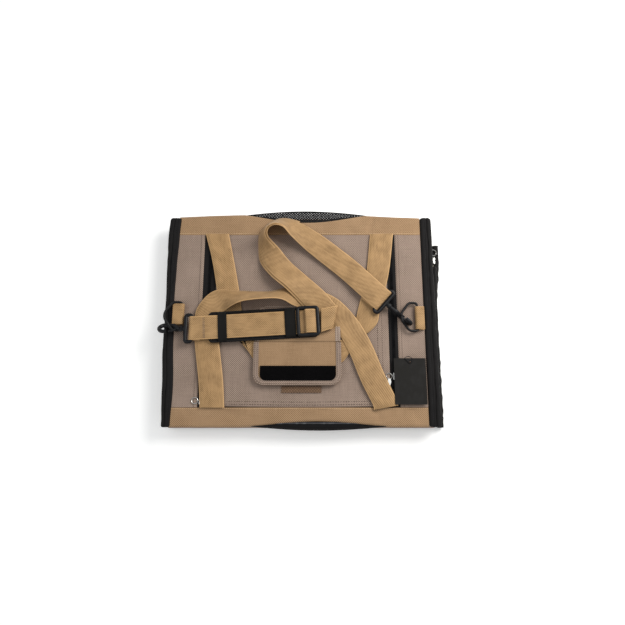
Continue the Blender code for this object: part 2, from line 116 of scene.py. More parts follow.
def set_studio():
    world = bpy.data.worlds.new("studio")
    world.use_nodes = True
    background = world.node_tree.nodes["Background"]
    background.inputs["Color"].default_value = (0.96, 0.98, 1.0, 1.0)
    background.inputs["Strength"].default_value = 0.56
    bpy.context.scene.world = world
    bpy.context.scene.view_settings.view_transform = "Standard"
    area_light("key", (0.68, 0.42, 0.76), (0.08, 0.0, 0.0), 0.70, 10.6, (1.0, 0.985, 0.96))
    area_light("fill", (-1.1, -0.3, 1.3), (0.0, 0.0, 0.0), 1.2, 4.5, (0.97, 0.985, 1.0))
    bpy.ops.mesh.primitive_plane_add(size=8.0, location=(0.0, 0.0, -0.0004))
    floor = bpy.context.object
    floor.name = "floor"
    paper, tree, shader = new_look("floor_paper", 0.75)
    shader.inputs["Base Color"].default_value = (0.95, 0.95, 0.94, 1.0)
    shader.inputs["Emission Color"].default_value = (1.0, 0.99, 0.97, 1.0)
    shader.inputs["Emission Strength"].default_value = 0.22
    floor.data.materials.append(paper)


# ---------------------------------------------------------------- material nodes
def node(tree, kind, settings=None, **inputs):
    made = tree.nodes.new(kind)
    for key, value in (settings or {}).items():
        setattr(made, key, value)
    for key, value in inputs.items():
        socket = made.inputs[int(key[1:])] if key[1:].isdigit() else made.inputs[key.replace("_", " ")]
        if isinstance(value, bpy.types.NodeSocket):
            tree.links.new(value, socket)
        else:
            socket.default_value = value
    return made


def math_node(tree, operation, first, second=0.0):
    return node(tree, "ShaderNodeMath", {"operation": operation}, i0=first, i1=second).outputs[0]


def plus(tree, first, second):
    return math_node(tree, "ADD", first, second)


def times(tree, first, second):
    return math_node(tree, "MULTIPLY", first, second)


def new_look(name, roughness, metallic=0.0, sheen=0.0, coat=0.0, shine=0.5):
    made = bpy.data.materials.new(name)
    made.use_nodes = True
    tree = made.node_tree
    shader = tree.nodes["Principled BSDF"]
    shader.inputs["Roughness"].default_value = roughness
    shader.inputs["Metallic"].default_value = metallic
    shader.inputs["Sheen Weight"].default_value = sheen
    shader.inputs["Sheen Roughness"].default_value = 0.4
    shader.inputs["Coat Weight"].default_value = coat
    shader.inputs["Specular IOR Level"].default_value = shine
    return made, tree, shader


def coordinates(tree, flat):
    """Millimetres along and across the cloth: from the weave map, or from the object's own X and Y."""
    if flat:
        source = node(tree, "ShaderNodeUVMap", {"uv_map": "weave"}).outputs["UV"]
        scale = 1.0
    else:
        source = node(tree, "ShaderNodeTexCoord").outputs["Object"]
        scale = 1.0 / MM
    scaled = node(tree, "ShaderNodeVectorMath", {"operation": "SCALE"}, i0=source)
    scaled.inputs["Scale"].default_value = scale
    return scaled.outputs["Vector"]


def fbm(tree, vector, scale, detail=3.0, stretch=(1.0, 1.0, 1.0)):
    """Noise from 0 to 1, its coordinates stretched by axis."""
    shaped = node(tree, "ShaderNodeVectorMath", {"operation": "MULTIPLY"}, i0=vector, i1=stretch)
    made = node(tree, "ShaderNodeTexNoise", Vector=shaped.outputs[0], Scale=scale, Detail=detail)
    return made.outputs["Fac"]


def blend_color(tree, factor, first, second):
    made = node(tree, "ShaderNodeMix", {"data_type": "RGBA"})
    tree.links.new(factor, made.inputs["Factor"])
    for index, value in ((6, first), (7, second)):
        if isinstance(value, bpy.types.NodeSocket):
            tree.links.new(value, made.inputs[index])
        else:
            made.inputs[index].default_value = (*value, 1.0)
    return made.outputs[2]


def ramp(tree, value, low, high, to_low=0.0, to_high=1.0):
    made = node(tree, "ShaderNodeMapRange", {"clamp": True}, Value=value)
    for key, number in (("From Min", low), ("From Max", high), ("To Min", to_low), ("To Max", to_high)):
        made.inputs[key].default_value = number
    return made.outputs["Result"]


def wave(tree, value, period):
    """A sine of period millimetres, from 0 to 1."""
    turned = times(tree, value, math.tau / period)
    return ramp(tree, math_node(tree, "SINE", turned), -1.0, 1.0)


def bumped(tree, shader, height, distance, strength=1.0):
    made = node(tree, "ShaderNodeBump", Height=height, Distance=distance, Strength=strength)
    tree.links.new(made.outputs["Normal"], shader.inputs["Normal"])


def woven(name, dark, light, pitch=1.55, roughness=0.85, sheen=0.1, depth=0.00016, flat=True,
          slub=0.3, shine=0.2):
    """Plain-woven cloth: crossing threads, each a little thicker, thinner, paler or darker than the next."""
    made, tree, shader = new_look(name, roughness, sheen=sheen, shine=shine)
    place = coordinates(tree, flat)
    parts = node(tree, "ShaderNodeSeparateXYZ", Vector=place)
    warp = wave(tree, parts.outputs["X"], pitch * 2)
    weft = wave(tree, parts.outputs["Y"], pitch * 2)
    over = math_node(tree, "ABSOLUTE", math_node(tree, "SUBTRACT", warp, weft))
    streak_x = fbm(tree, place, 0.9, 2.0, (1.0, 0.035, 1.0))
    streak_y = fbm(tree, place, 0.9, 2.0, (0.035, 1.0, 1.0))
    streaks = plus(tree, times(tree, streak_x, 0.5), times(tree, streak_y, 0.5))
    cloud = fbm(tree, place, 0.018, 4.0)
    tone = plus(tree, ramp(tree, over, 0.0, 0.85, -0.15, 0.85),
                ramp(tree, streaks, 0.3, 0.7, 0.0, slub))
    tone = plus(tree, tone, ramp(tree, cloud, 0.35, 0.65, 0.0, 0.2))
    tree.links.new(blend_color(tree, tone, dark, light), shader.inputs["Base Color"])
    height = plus(tree, over, times(tree, streaks, 0.7))
    bumped(tree, shader, height, depth)
    return made


def webbing_look(name, dark, light, rib=2.9, shine=0.25):
    """Strap webbing: a diagonal twill, a tight selvage down both edges, and a painted highlight on that selvage where
    the webbing's edges would catch the light.
    """
    made, tree, shader = new_look(name, 0.62, sheen=0.08, shine=shine)
    place = coordinates(tree, True)
    parts = node(tree, "ShaderNodeSeparateXYZ", Vector=place)
    slant = plus(tree, parts.outputs["X"], times(tree, parts.outputs["Y"], 0.9))
    ribs = wave(tree, slant, rib)
    threads = wave(tree, parts.outputs["Y"], 1.2)
    across = math_node(tree, "ABSOLUTE", parts.outputs["Y"])
    edge = ramp(tree, across, WEBBING / 2 - 2.0, WEBBING / 2 - 1.2)
    streaks = fbm(tree, place, 1.1, 2.0, (0.05, 1.0, 1.0))
    wear = fbm(tree, place, 0.05, 4.0)
    tone = plus(tree, times(tree, ribs, 0.66), times(tree, threads, 0.2))
    tone = plus(tree, tone, ramp(tree, streaks, 0.35, 0.65, 0.0, 0.22))
    tone = plus(tree, tone, ramp(tree, wear, 0.35, 0.65, -0.06, 0.2))
    body = blend_color(tree, tone, dark, light)
    # Painted highlight: the edge band is blended halfway toward a paler copy of the light colour, standing in for
    # light caught by the webbing's edges.
    pale = tuple(min(1.0, channel * 1.25) for channel in light)
    tree.links.new(blend_color(tree, times(tree, edge, 0.5), body, pale), shader.inputs["Base Color"])
    height = plus(tree, ribs, times(tree, threads, 0.5))
    height = times(tree, height, ramp(tree, edge, 0.0, 1.0, 1.0, 0.4))
    bumped(tree, shader, height, 0.00016)
    return made


def fuzzy(name, dark, light, scale=0.8, roughness=0.95, sheen=0.6, depth=0.0004, shine=0.05):
    """Pile that has no threads to see: hook tape or plush."""
    made, tree, shader = new_look(name, roughness, sheen=sheen, shine=shine)
    place = coordinates(tree, False)
    curl = fbm(tree, place, scale, 6.0)
    cloud = fbm(tree, place, 0.03, 3.0)
    tone = plus(tree, ramp(tree, curl, 0.3, 0.7, 0.0, 0.8), ramp(tree, cloud, 0.3, 0.7, 0.0, 0.25))
    tree.links.new(blend_color(tree, tone, dark, light), shader.inputs["Base Color"])
    bumped(tree, shader, curl, depth)
    return made


def moulded(name, color, worn, roughness, metallic=0.0, coat=0.0, grain=1.5, depth=0.00003, shine=0.4):
    """Plastic, painted wire or plated metal: fine grain, scuffs, and paler worn places."""
    made, tree, shader = new_look(name, roughness, metallic=metallic, coat=coat, shine=shine)
    place = coordinates(tree, False)
    fine = fbm(tree, place, grain, 4.0)
    scuff = fbm(tree, place, 0.12, 6.0, (1.0, 0.6, 1.0))
    tree.links.new(blend_color(tree, ramp(tree, scuff, 0.5, 0.75), color, worn), shader.inputs["Base Color"])
    tree.links.new(ramp(tree, scuff, 0.35, 0.7, roughness * 0.8, min(1.0, roughness * 1.35)),
                   shader.inputs["Roughness"])
    bumped(tree, shader, fine, depth)
    return made


def leather(name, dark, light, pitch=4.4):
    """Grained leather with a row of pressed diamonds, darker in their grooves."""
    made, tree, shader = new_look(name, 0.6, shine=0.2)
    place = coordinates(tree, False)
    parts = node(tree, "ShaderNodeSeparateXYZ", Vector=place)
    column = math_node(tree, "PINGPONG", parts.outputs["X"], pitch / 2)
    row = math_node(tree, "PINGPONG", plus(tree, parts.outputs["Y"], 114.75), pitch / 2)
    diamond = math_node(tree, "ABSOLUTE", math_node(tree, "SUBTRACT", plus(tree, column, row), pitch / 2))
    cells = node(tree, "ShaderNodeTexVoronoi", {"feature": "DISTANCE_TO_EDGE"}, Vector=place, Scale=0.9)
    cloud = fbm(tree, place, 0.15, 4.0)
    groove = ramp(tree, diamond, 0.15, 0.75, 0.0, 0.75)
    tone = plus(tree, groove, times(tree, cloud, 0.35))
    tree.links.new(blend_color(tree, tone, dark, light), shader.inputs["Base Color"])
    height = plus(tree, ramp(tree, cells.outputs["Distance"], 0.0, 0.12), groove)
    bumped(tree, shader, height, 0.0002)
    return made


TAUPE = woven("taupe_oxford", (0.112, 0.077, 0.055), (0.385, 0.288, 0.230))
TAN = woven("tan_oxford", (0.135, 0.075, 0.034), (0.450, 0.290, 0.163))
BLACK = woven("black_nylon", (0.004, 0.004, 0.004), (0.013, 0.012, 0.012), 1.2, 0.75, 0.0, shine=0.1)
BLACK_TAPE = woven("black_grosgrain", (0.003, 0.003, 0.0035), (0.014, 0.0125, 0.012), 0.9, 0.68, 0.0,
                   0.0002, shine=0.12)
WEB = webbing_look("tan_webbing_weave", (0.105, 0.056, 0.019), (0.500, 0.305, 0.138))
WEB_DARK = webbing_look("black_webbing_weave", (0.004, 0.004, 0.004), (0.013, 0.012, 0.011), 1.8, 0.06)
NET = woven("black_net_thread", (0.004, 0.004, 0.005), (0.014, 0.014, 0.015), 0.5, 0.6, 0.0, shine=0.1)
PADDING = woven("black_padding_cloth", (0.004, 0.004, 0.005), (0.013, 0.012, 0.013), 1.2, 0.75, 0.0, flat=False,
                shine=0.1)
HOOKS = fuzzy("hook_tape", (0.0012, 0.0012, 0.0012), (0.006, 0.0055, 0.006), 1.3, 0.9, 0.0, shine=0.03)
PLUSH = fuzzy("cream_plush", (0.36, 0.29, 0.22), (0.66, 0.58, 0.48), 0.35, 0.95, 0.8, 0.0012)
BOARD = moulded("pressed_board", (0.030, 0.028, 0.026), (0.060, 0.055, 0.050), 0.7, grain=3.0)
SPRING = moulded("spring_steel", (0.10, 0.10, 0.105), (0.25, 0.25, 0.25), 0.35, metallic=0.9)
PAINTED = moulded("black_painted_wire", (0.004, 0.004, 0.0045), (0.012, 0.012, 0.012), 0.42, shine=0.2)
PLASTIC = moulded("black_acetal", (0.004, 0.004, 0.005), (0.010, 0.010, 0.011), 0.42, shine=0.25)
SILVER = moulded("nickel_plate", (0.62, 0.61, 0.58), (0.80, 0.79, 0.77), 0.22, metallic=1.0)
CARD = moulded("black_card", (0.0130, 0.0120, 0.0108), (0.019, 0.018, 0.016), 0.7, grain=4.0, shine=0.15)
LEATHER = leather("brown_leather", (0.022, 0.011, 0.006), (0.235, 0.138, 0.080))
THREAD_TAN = moulded("tan_thread", (0.50, 0.33, 0.18), (0.62, 0.44, 0.27), 0.7, shine=0.2)
THREAD_TAUPE = moulded("taupe_thread", (0.115, 0.080, 0.060), (0.22, 0.165, 0.130), 0.7, shine=0.2)
THREAD_PALE = moulded("pale_thread", (0.48, 0.38, 0.29), (0.62, 0.52, 0.42), 0.7, shine=0.2)
THREAD_BLACK = moulded("black_thread", (0.010, 0.010, 0.011), (0.030, 0.030, 0.030), 0.6, shine=0.2)
PALE_TAB = woven("pale_tab_tape", (0.42, 0.36, 0.26), (0.72, 0.66, 0.54), 0.6)
WHITE_TAB = moulded("white_enamel", (0.78, 0.78, 0.75), (0.70, 0.70, 0.68), 0.35, coat=0.3)


# ---------------------------------------------------------------- mesh builders
def build(name, points, faces, looks, uvs=None, face_looks=None, sharp=45.0):
    """A closed mesh from points in millimetres, its faces turned outward."""
    mesh = bpy.data.meshes.new(name)
    mesh.from_pydata([(x * MM, y * MM, z * MM) for x, y, z in points], [], faces)
    for look in looks if isinstance(looks, (list, tuple)) else [looks]:
        mesh.materials.append(look)
    if face_looks:
        mesh.polygons.foreach_set("material_index", face_looks)
    layer = mesh.uv_layers.new(name="weave")
    for loop in mesh.loops:
        place = points[loop.vertex_index]
        layer.data[loop.index].uv = uvs[loop.vertex_index] if uvs else (place[0], place[1])
    work = bmesh.new()
    work.from_mesh(mesh)
    bmesh.ops.recalc_face_normals(work, faces=work.faces)
    work.to_mesh(mesh)
    work.free()
    mesh.shade_smooth()
    mesh.set_sharp_from_angle(angle=math.radians(sharp))
    made = bpy.data.objects.new(name, mesh)
    bpy.context.scene.collection.objects.link(made)
    return made


def place_on(made, body, slot, *replaced):
    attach(made, body)
    if replaced:
        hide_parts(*replaced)
    return made


def stitched(name, lines, look, sizes, body, slot):
    """Rows of stitches on a body; sizes are seam()'s pitch, length, width and height."""
    return place_on(seam(name, lines, look, *sizes), body, slot)


def ripple(x, y, size, seed=0.0):
    """Smooth noise from about -1 to 1, with swells of about size millimetres."""
    return noise.noise(Vector((x / size, y / size, seed)))


def clamped(share):
    return min(1.0, max(0.0, share))


def eased(share):
    return share * share * (3 - 2 * share)


def table_at(table, spot):
    """A value between the rows of (place, value) pairs, level past the last row."""
    for (first, low), (second, high) in zip(table, table[1:]):
        if spot <= second:
            return low + (high - low) * (spot - first) / (second - first)
    return table[-1][1]


def corner_inset(distance, corner):
    """How far a round corner's edge stands in, at a distance from the edge that it meets."""
    pull = max(0.0, 1 - distance / corner)
    return corner * (1 - math.sqrt(max(0.0, 1 - pull * pull)))


def stops(low, high, step, fine=(0.6, 1.6, 3.2)):
    """Grid lines from low to high, closer together at both ends so that an edge can turn."""
    inner_low = low + fine[-1]
    inner_high = high - fine[-1]
    count = max(1, round((inner_high - inner_low) / step))
    middle = [inner_low + (inner_high - inner_low) * index / count for index in range(count + 1)]
    before = [low] + [low + offset for offset in fine[:-1]]
    after = [high - offset for offset in reversed(fine[:-1])] + [high]
    return before + middle + after


def cloth(name, columns, rows, surface, thickness, looks, face_looks=None):
    """A sheet over a grid: surface(x, y) gives each point of its upper face, in millimetres."""
    upper = [[Vector(surface(x, y)) for y in rows] for x in columns]
    points, uvs, faces, marks = [], [], [], []
    wide, deep = len(columns), len(rows)
    for level in (0, 1):
        for i in range(wide):
            for j in range(deep):
                before = upper[max(i - 1, 0)][j]
                after = upper[min(i + 1, wide - 1)][j]
                below = upper[i][max(j - 1, 0)]
                above = upper[i][min(j + 1, deep - 1)]
                normal = (after - before).cross(above - below).normalized()
                points.append(tuple(upper[i][j] - normal * thickness * level))
                uvs.append((columns[i], rows[j]))
    under = wide * deep
    for i in range(wide - 1):
        for j in range(deep - 1):
            a, b, c, d = i * deep + j, (i + 1) * deep + j, (i + 1) * deep + j + 1, i * deep + j + 1
            faces += [(a, b, c, d), (under + a, under + d, under + c, under + b)]
            marks += [0, 1]
    border = [i * deep for i in range(wide)]
    border += [(wide - 1) * deep + j for j in range(1, deep)]
    border += [i * deep + deep - 1 for i in range(wide - 2, -1, -1)]
    border += [j for j in range(deep - 2, 0, -1)]
    for first, second in zip(border, border[1:] + border[:1]):
        faces.append((first, second, under + second, under + first))
        marks.append(0)
    return build(name, points, faces, looks, uvs, marks if face_looks else None)


def loft(name, rings, looks, closed=False, across=None, sharp=45.0, face_looks=None):
    """Skin rings of equal count. across gives the weave map's second coordinate round each ring."""
    count = len(rings[0])
    points, uvs, faces, marks = [], [], [], []
    along = 0.0
    if across is None:
        across = [0.0]
        for first, second in zip(rings[0], rings[0][1:]):
            across.append(across[-1] + (Vector(second) - Vector(first)).length)
    for index, ring in enumerate(rings):
        if index:
            along += (mean(ring) - mean(rings[index - 1])).length
        for place, side in zip(ring, across):
            points.append(tuple(place))
            uvs.append((along, side))
    total = len(rings)
    for index in range(total if closed else total - 1):
        start, stop = index * count, ((index + 1) % total) * count
        for step in range(count):
            after = (step + 1) % count
            faces.append((start + step, start + after, stop + after, stop + step))
            marks.append(face_looks[step] if face_looks else 0)
    if not closed:
        faces.append(tuple(range(count)))
        faces.append(tuple(range((total - 1) * count, total * count)))
        marks += [0, 0]
    return build(name, points, faces, looks, uvs, marks if face_looks else None, sharp)


def mean(ring):
    return sum((Vector(place) for place in ring), Vector()) / len(ring)


def smooth_path(points, step, closed=False):
    """Points on a curve through the given ones, about step millimetres apart."""
    knots = [Vector(point) for point in points]
    if closed:
        knots = [knots[-1]] + knots + knots[:2]
    else:
        knots = [2 * knots[0] - knots[1]] + knots + [2 * knots[-1] - knots[-2]]
    made = []
    for a, b, c, d in zip(knots, knots[1:], knots[2:], knots[3:]):
        pieces = max(1, round((c - b).length / step))
        for piece in range(pieces):
            t = piece / pieces
            made.append(0.5 * (2 * b + (c - a) * t + (2 * a - 5 * b + 4 * c - d) * t * t
                               + (3 * b - a - 3 * c + d) * t ** 3))
    if not closed:
        made.append(knots[-2])
    return made


def filleted(points, radius, closed=True, steps=4):
    """Round each corner of a polygon with an arc-like turn of about that radius."""
    corners = [Vector(point) for point in points]
    made = []
    total = len(corners)
    for index, corner in enumerate(corners):
        if not closed and index in (0, total - 1):
            made.append(corner)
            continue
        before = corners[index - 1]
        after = corners[(index + 1) % total]
        reach = min(radius, (before - corner).length * 0.45, (after - corner).length * 0.45)
        start = corner + (before - corner).normalized() * reach
        stop = corner + (after - corner).normalized() * reach
        for step in range(steps + 1):
            t = step / steps
            made.append(start * (1 - t) ** 2 + corner * 2 * t * (1 - t) + stop * t * t)
    return made


def frames_along(path, closed=False):
    """(place, side, up) down a path, turned as little as possible."""
    total = len(path)
    tangents = []
    for index in range(total):
        before = path[index - 1] if (closed or index) else path[0]
        after = path[(index + 1) % total] if (closed or index < total - 1) else path[-1]
        tangents.append((after - before).normalized())
    up = Vector((0, 0, 1)) if abs(tangents[0].z) < 0.9 else Vector((1, 0, 0))
    made = []
    for place, tangent in zip(path, tangents):
        up = (up - tangent * up.dot(tangent)).normalized()
        made.append((place, tangent.cross(up), up))
    return made


def tube(name, path, radius, look, closed=False, sides=10, flat=1.0, radius_at=None):
    """A round or flattened rod down a path of points. radius_at(share) varies it."""
    rings = []
    spots = frames_along([Vector(place) for place in path], closed)
    for index, (place, side, up) in enumerate(spots):
        size = radius * (radius_at(index / (len(spots) - 1)) if radius_at else 1.0)
        ring = []
        for step in range(sides):
            turn = math.tau * step / sides
            ring.append(place + side * size * math.cos(turn) + up * size * flat * math.sin(turn))
        rings.append(ring)
    return loft(name, rings, look, closed)


def beads(name, places, look, length, width, height):
    """Small spindles, such as stitches or zip teeth. places are (middle, direction) pairs."""
    points, faces = [], []
    for middle, direction in places:
        direction = Vector(direction).normalized()
        side = Vector((0, 0, 1)).cross(direction)
        side = side.normalized() if side.length > 0.1 else Vector((1, 0, 0))
        up = direction.cross(side)
        start = len(points)
        for reach, scale in ((-0.5, 0.35), (-0.32, 1.0), (0.32, 1.0), (0.5, 0.35)):
            for turn in range(4):
                angle = math.tau * turn / 4
                offset = side * width / 2 * math.cos(angle) + up * height / 2 * math.sin(angle)
                points.append(tuple(Vector(middle) + direction * length * reach + offset * scale))
        for ring in range(3):
            for turn in range(4):
                a = start + ring * 4 + turn
                b = start + ring * 4 + (turn + 1) % 4
                faces.append((a, b, b + 4, a + 4))
        faces.append((start, start + 1, start + 2, start + 3))
        faces.append((start + 12, start + 13, start + 14, start + 15))
    return build(name, points, faces, look, sharp=70)


def seam(name, lines, look, pitch=3.1, length=2.1, width=1.0, height=0.6):
    """Rows of stitches, each a spindle lying along its line."""
    places = []
    for line in lines:
        points = [Vector(point) for point in line]
        left_over = pitch / 2
        for first, second in zip(points, points[1:]):
            run = (second - first).length
            while left_over < run:
                places.append((first.lerp(second, left_over / run), second - first))
                left_over += pitch
            left_over -= run
    return beads(name, places, look, length, width, height)


def strap(name, stations, look, width=WEBBING, thickness=WEBBING_THICK, step=3.0, crown=0.0):
    """Flat webbing down stations (x, y, z, compass angle of its side, bank, stretch), as a closed band."""
    places, sides = [], []
    for station in stations:
        x, y, z, azimuth, bank = station[:5]
        stretch = station[5] if len(station) > 5 else 1.0
        level = math.cos(math.radians(bank))
        side = Vector((level * math.cos(math.radians(azimuth)), level * math.sin(math.radians(azimuth)),
                       math.sin(math.radians(bank))))
        places.append(Vector((x, y, z)))
        sides.append(side * stretch)
    path, spread = [], []
    knots = [2 * places[0] - places[1]] + places + [2 * places[-1] - places[-2]]
    turns = [sides[0]] + sides + [sides[-1]]
    for index in range(1, len(knots) - 2):
        pieces = max(1, round((knots[index + 1] - knots[index]).length / step))
        for piece in range(pieces):
            t = piece / pieces
            path.append(cubic(knots[index - 1:index + 3], t))
            spread.append(cubic(turns[index - 1:index + 3], t))
    path.append(places[-1])
    spread.append(sides[-1])
    half, thick = width / 2, thickness / 2
    steps = (-1.0, -0.965, -0.6, -0.2, 0.2, 0.6, 0.965, 1.0)
    section = [(share, 0.0 if abs(share) == 1.0 else thick, crown * (1 - share * share)) for share in steps]
    section += [(share, -thick, crown * (1 - share * share)) for share in reversed(steps[1:-1])]
    rings = []
    for index, (place, side) in enumerate(zip(path, spread)):
        ahead = path[min(index + 1, len(path) - 1)] - path[max(index - 1, 0)]
        up = ahead.cross(side).normalized()
        rings.append([place + side * half * a + up * (b + c) for a, b, c in section])
    return loft(name, rings, look, across=[a * half for a, b, c in section], sharp=60)


def cubic(four, t):
    a, b, c, d = four
    return 0.5 * (2 * b + (c - a) * t + (2 * a - 5 * b + 4 * c - d) * t * t + (3 * b - a - 3 * c + d) * t ** 3)


def rounded_ring(low, high, corner, steps=5, runs=12):
    """Corner arcs and straight runs of a rounded rectangle, always the same number of points."""
    spots = []
    middle = ((low[0] + high[0]) / 2, (low[1] + high[1]) / 2)
    for x, y, start in ((high[0], high[1], 0), (low[0], high[1], 90), (low[0], low[1], 180),
                        (high[0], low[1], 270)):
        cx = x - math.copysign(corner, x - middle[0])
        cy = y - math.copysign(corner, y - middle[1])
        for step in range(steps + 1):
            turn = math.radians(start + 90 * step / steps)
            spots.append((cx + corner * math.cos(turn), cy + corner * math.sin(turn)))
    made = []
    size = steps + 1
    for side in range(4):
        made += spots[side * size:(side + 1) * size]
        start, stop = spots[(side + 1) * size - 1], spots[((side + 1) * size) % len(spots)]
        for run in range(1, runs):
            share = run / runs
            made.append((start[0] + (stop[0] - start[0]) * share, start[1] + (stop[1] - start[1]) * share))
    return made


def windowed(name, low, high, corner, window_low, window_high, window_corner, z, thickness, looks,
             wave_size=0.5):
    """A cloth panel with an opening: rings from its outer edge to the opening and back underneath."""
    outer = rounded_ring(low, high, corner)
    inner = rounded_ring(window_low, window_high, window_corner)
    half = thickness / 2
    profile = [(0.0, 0.0), (0.02, half), (0.25, half), (0.5, half), (0.75, half), (0.98, half), (1.0, 0.0)]
    profile += [(share, -level) for share, level in reversed(profile[1:-1])]
    rings = []
    for (ox, oy), (ix, iy) in zip(outer, inner):
        ring = []
        for share, level in profile:
            x, y = ox + (ix - ox) * share, oy + (iy - oy) * share
            ring.append((x, y, z + level + wave_size * ripple(x, y, 34, z) * math.sin(math.pi * share)))
        rings.append(ring)
    points, uvs, faces, marks = [], [], [], []
    count, total = len(profile), len(rings)
    for ring in rings:
        points += ring
    for index in range(total):
        after = (index + 1) % total
        for step in range(count):
            up = (step + 1) % count
            faces.append((index * count + step, index * count + up, after * count + up, after * count + step))
            marks.append(0 if step < count / 2 else 1)
    weave = [(x, y) for x, y, z in points]
    return build(name, points, faces, looks, weave, marks if len(looks) > 1 else None)


def net(name, low, high, height, look, pitch=3.0, thread=0.9, thick=0.4, inside=None, step=None):
    """Threads in two slanting families over a rectangle, laid on height(x, y), one family on the other."""
    points, faces = [], []
    tall = high[1] - low[1]
    spacing = pitch * math.sqrt(2)
    fine = step or 1.0
    for family, slant in enumerate((1.0, -1.0)):
        base = low[0] - (tall if slant > 0 else 0.0)
        for number in range(int((high[0] - low[0] + tall) / spacing) + 1):
            start_x = base + number * spacing
            run = []
            for index in range(int(tall / fine) + 2):
                y = low[1] + min(index * fine, tall)
                x = start_x + slant * (y - low[1])
                if low[0] <= x <= high[0] and (inside is None or inside(x, y)):
                    run.append((x, y))
            if len(run) < 2:
                continue
            if step is None:
                run = [run[0], run[-1]]
            add_thread(points, faces, run, slant, height, thread / 2, thick / 2, family * thick * 0.7)
    return build(name, points, faces, look, sharp=30)


def add_thread(points, faces, run, slant, height, half, thick, lift):
    start = len(points)
    offset = half / math.sqrt(2)
    for x, y in run:
        for a, b in ((-1, 0), (0, 1), (1, 0), (0, -1)):
            px, py = x + a * offset, y - a * offset * slant
            points.append((px, py, height(px, py) + lift + b * thick))
    for index in range(len(run) - 1):
        for turn in range(4):
            a = start + index * 4 + turn
            b = start + index * 4 + (turn + 1) % 4
            faces.append((a, b, b + 4, a + 4))
    last = start + (len(run) - 1) * 4
    faces.append((start, start + 1, start + 2, start + 3))
    faces.append((last, last + 1, last + 2, last + 3))


def in_rounded(low, high, corner):
    """A test for points inside a rounded rectangle."""
    def test(x, y):
        dx = max(low[0] + corner - x, x - high[0] + corner, 0.0)
        dy = max(low[1] + corner - y, y - high[1] + corner, 0.0)
        return math.hypot(dx, dy) <= corner
    return test


def inflate(made, voxel, pressure, cap, subdivide=True):
    """Fill a closed cloth form with air for twenty frames and keep the shape it takes."""
    scene = bpy.context.scene
    remesh = made.modifiers.new("remesh", "REMESH")
    remesh.mode = "VOXEL"
    remesh.voxel_size = voxel * MM
    bake_modifiers(made)
    rest = [vertex.co.copy() for vertex in made.data.vertices]
    sim = made.modifiers.new("air", "CLOTH")
    sim.settings.quality = 4
    sim.settings.use_pressure = True
    sim.settings.uniform_pressure_force = pressure
    sim.settings.effector_weights.gravity = 0.0
    sim.collision_settings.use_collision = False
    for number in range(1, 21):
        scene.frame_set(number)
    graph = bpy.context.evaluated_depsgraph_get()
    swollen = [vertex.co.copy() for vertex in made.evaluated_get(graph).data.vertices]
    made.modifiers.clear()
    scene.frame_set(1)
    for vertex, before, after in zip(made.data.vertices, rest, swollen):
        move = after - before
        if move.length > cap * MM:
            move = move.normalized() * cap * MM
        vertex.co = before + move
    if subdivide:
        finer = made.modifiers.new("finer", "SUBSURF")
        finer.levels = 1
        finer.render_levels = 1
        bake_modifiers(made)
    made.data.shade_smooth()


def bake_modifiers(made):
    graph = bpy.context.evaluated_depsgraph_get()
    mesh = bpy.data.meshes.new_from_object(made.evaluated_get(graph))
    made.modifiers.clear()
    made.data = mesh


# ---------------------------------------------------------------- top panel
def crease(x, y, start, stop, width):
    """1 on a line between two points, falling to 0 at width away from it."""
    run = (stop[0] - start[0], stop[1] - start[1])
    share = ((x - start[0]) * run[0] + (y - start[1]) * run[1]) / (run[0] ** 2 + run[1] ** 2)
    share = clamped(share)
    gap = math.hypot(x - start[0] - run[0] * share, y - start[1] - run[1] * share)
    return math.exp(-(gap / width) ** 2)


STRIP_CREASES = (                                 # start, end, width and depth of each crease
    ((116, 168), (110, 150), 4.0, 1.3), ((70, 160), (84, 143), 6.0, 0.8),
    ((-60, 158), (-92, 146), 7.0, 0.7), ((-150, 166), (-158, 150), 5.0, 0.6),
    ((112, -143), (118, -158), 5.0, 1.2), ((168, -146), (182, -166), 5.0, 0.8),
    ((-118, -146), (-100, -158), 6.0, 0.8), ((-176, -150), (-160, -166), 6.0, 0.7),
    ((30, -146), (52, -160), 8.0, 0.7),
)


def top_wave(x, y):
    """How far the top's cloth lies under its highest level: slow swells and small ripples, in mm."""
    slow = 0.5 + 0.5 * ripple(x, y, 62, 1.7)
    small = 0.5 + 0.5 * ripple(x * 2.2, y, 22, 5.2)
    return -1.0 * slow - 0.45 * small


REAR_RISE = ((-215.0, 2.5), (-150.0, 5.5), (-95.0, 7.0), (105.0, 5.5), (150.0, 3.0), (215.0, 0.5))


def rear_rise(x):
    """How far the soft rear edge stands out past the frame at x."""
    return table_at(REAR_RISE, x)


def strip_edge(x, side):
    """Y of the tan strip's outer edge: it dips where the window's mesh bulges past it."""
    left, right, dip = (-97.0, 108.0, 13.0) if side > 0 else (-92.0, 142.0, 8.5)
    share = (x - left) / (right - left)
    edge = EDGE_Y + (rear_rise(x) if side > 0 else 0.0)
    if 0.0 < share < 1.0:
        return edge - dip * math.sin(math.pi * share) ** 1.3
    return edge


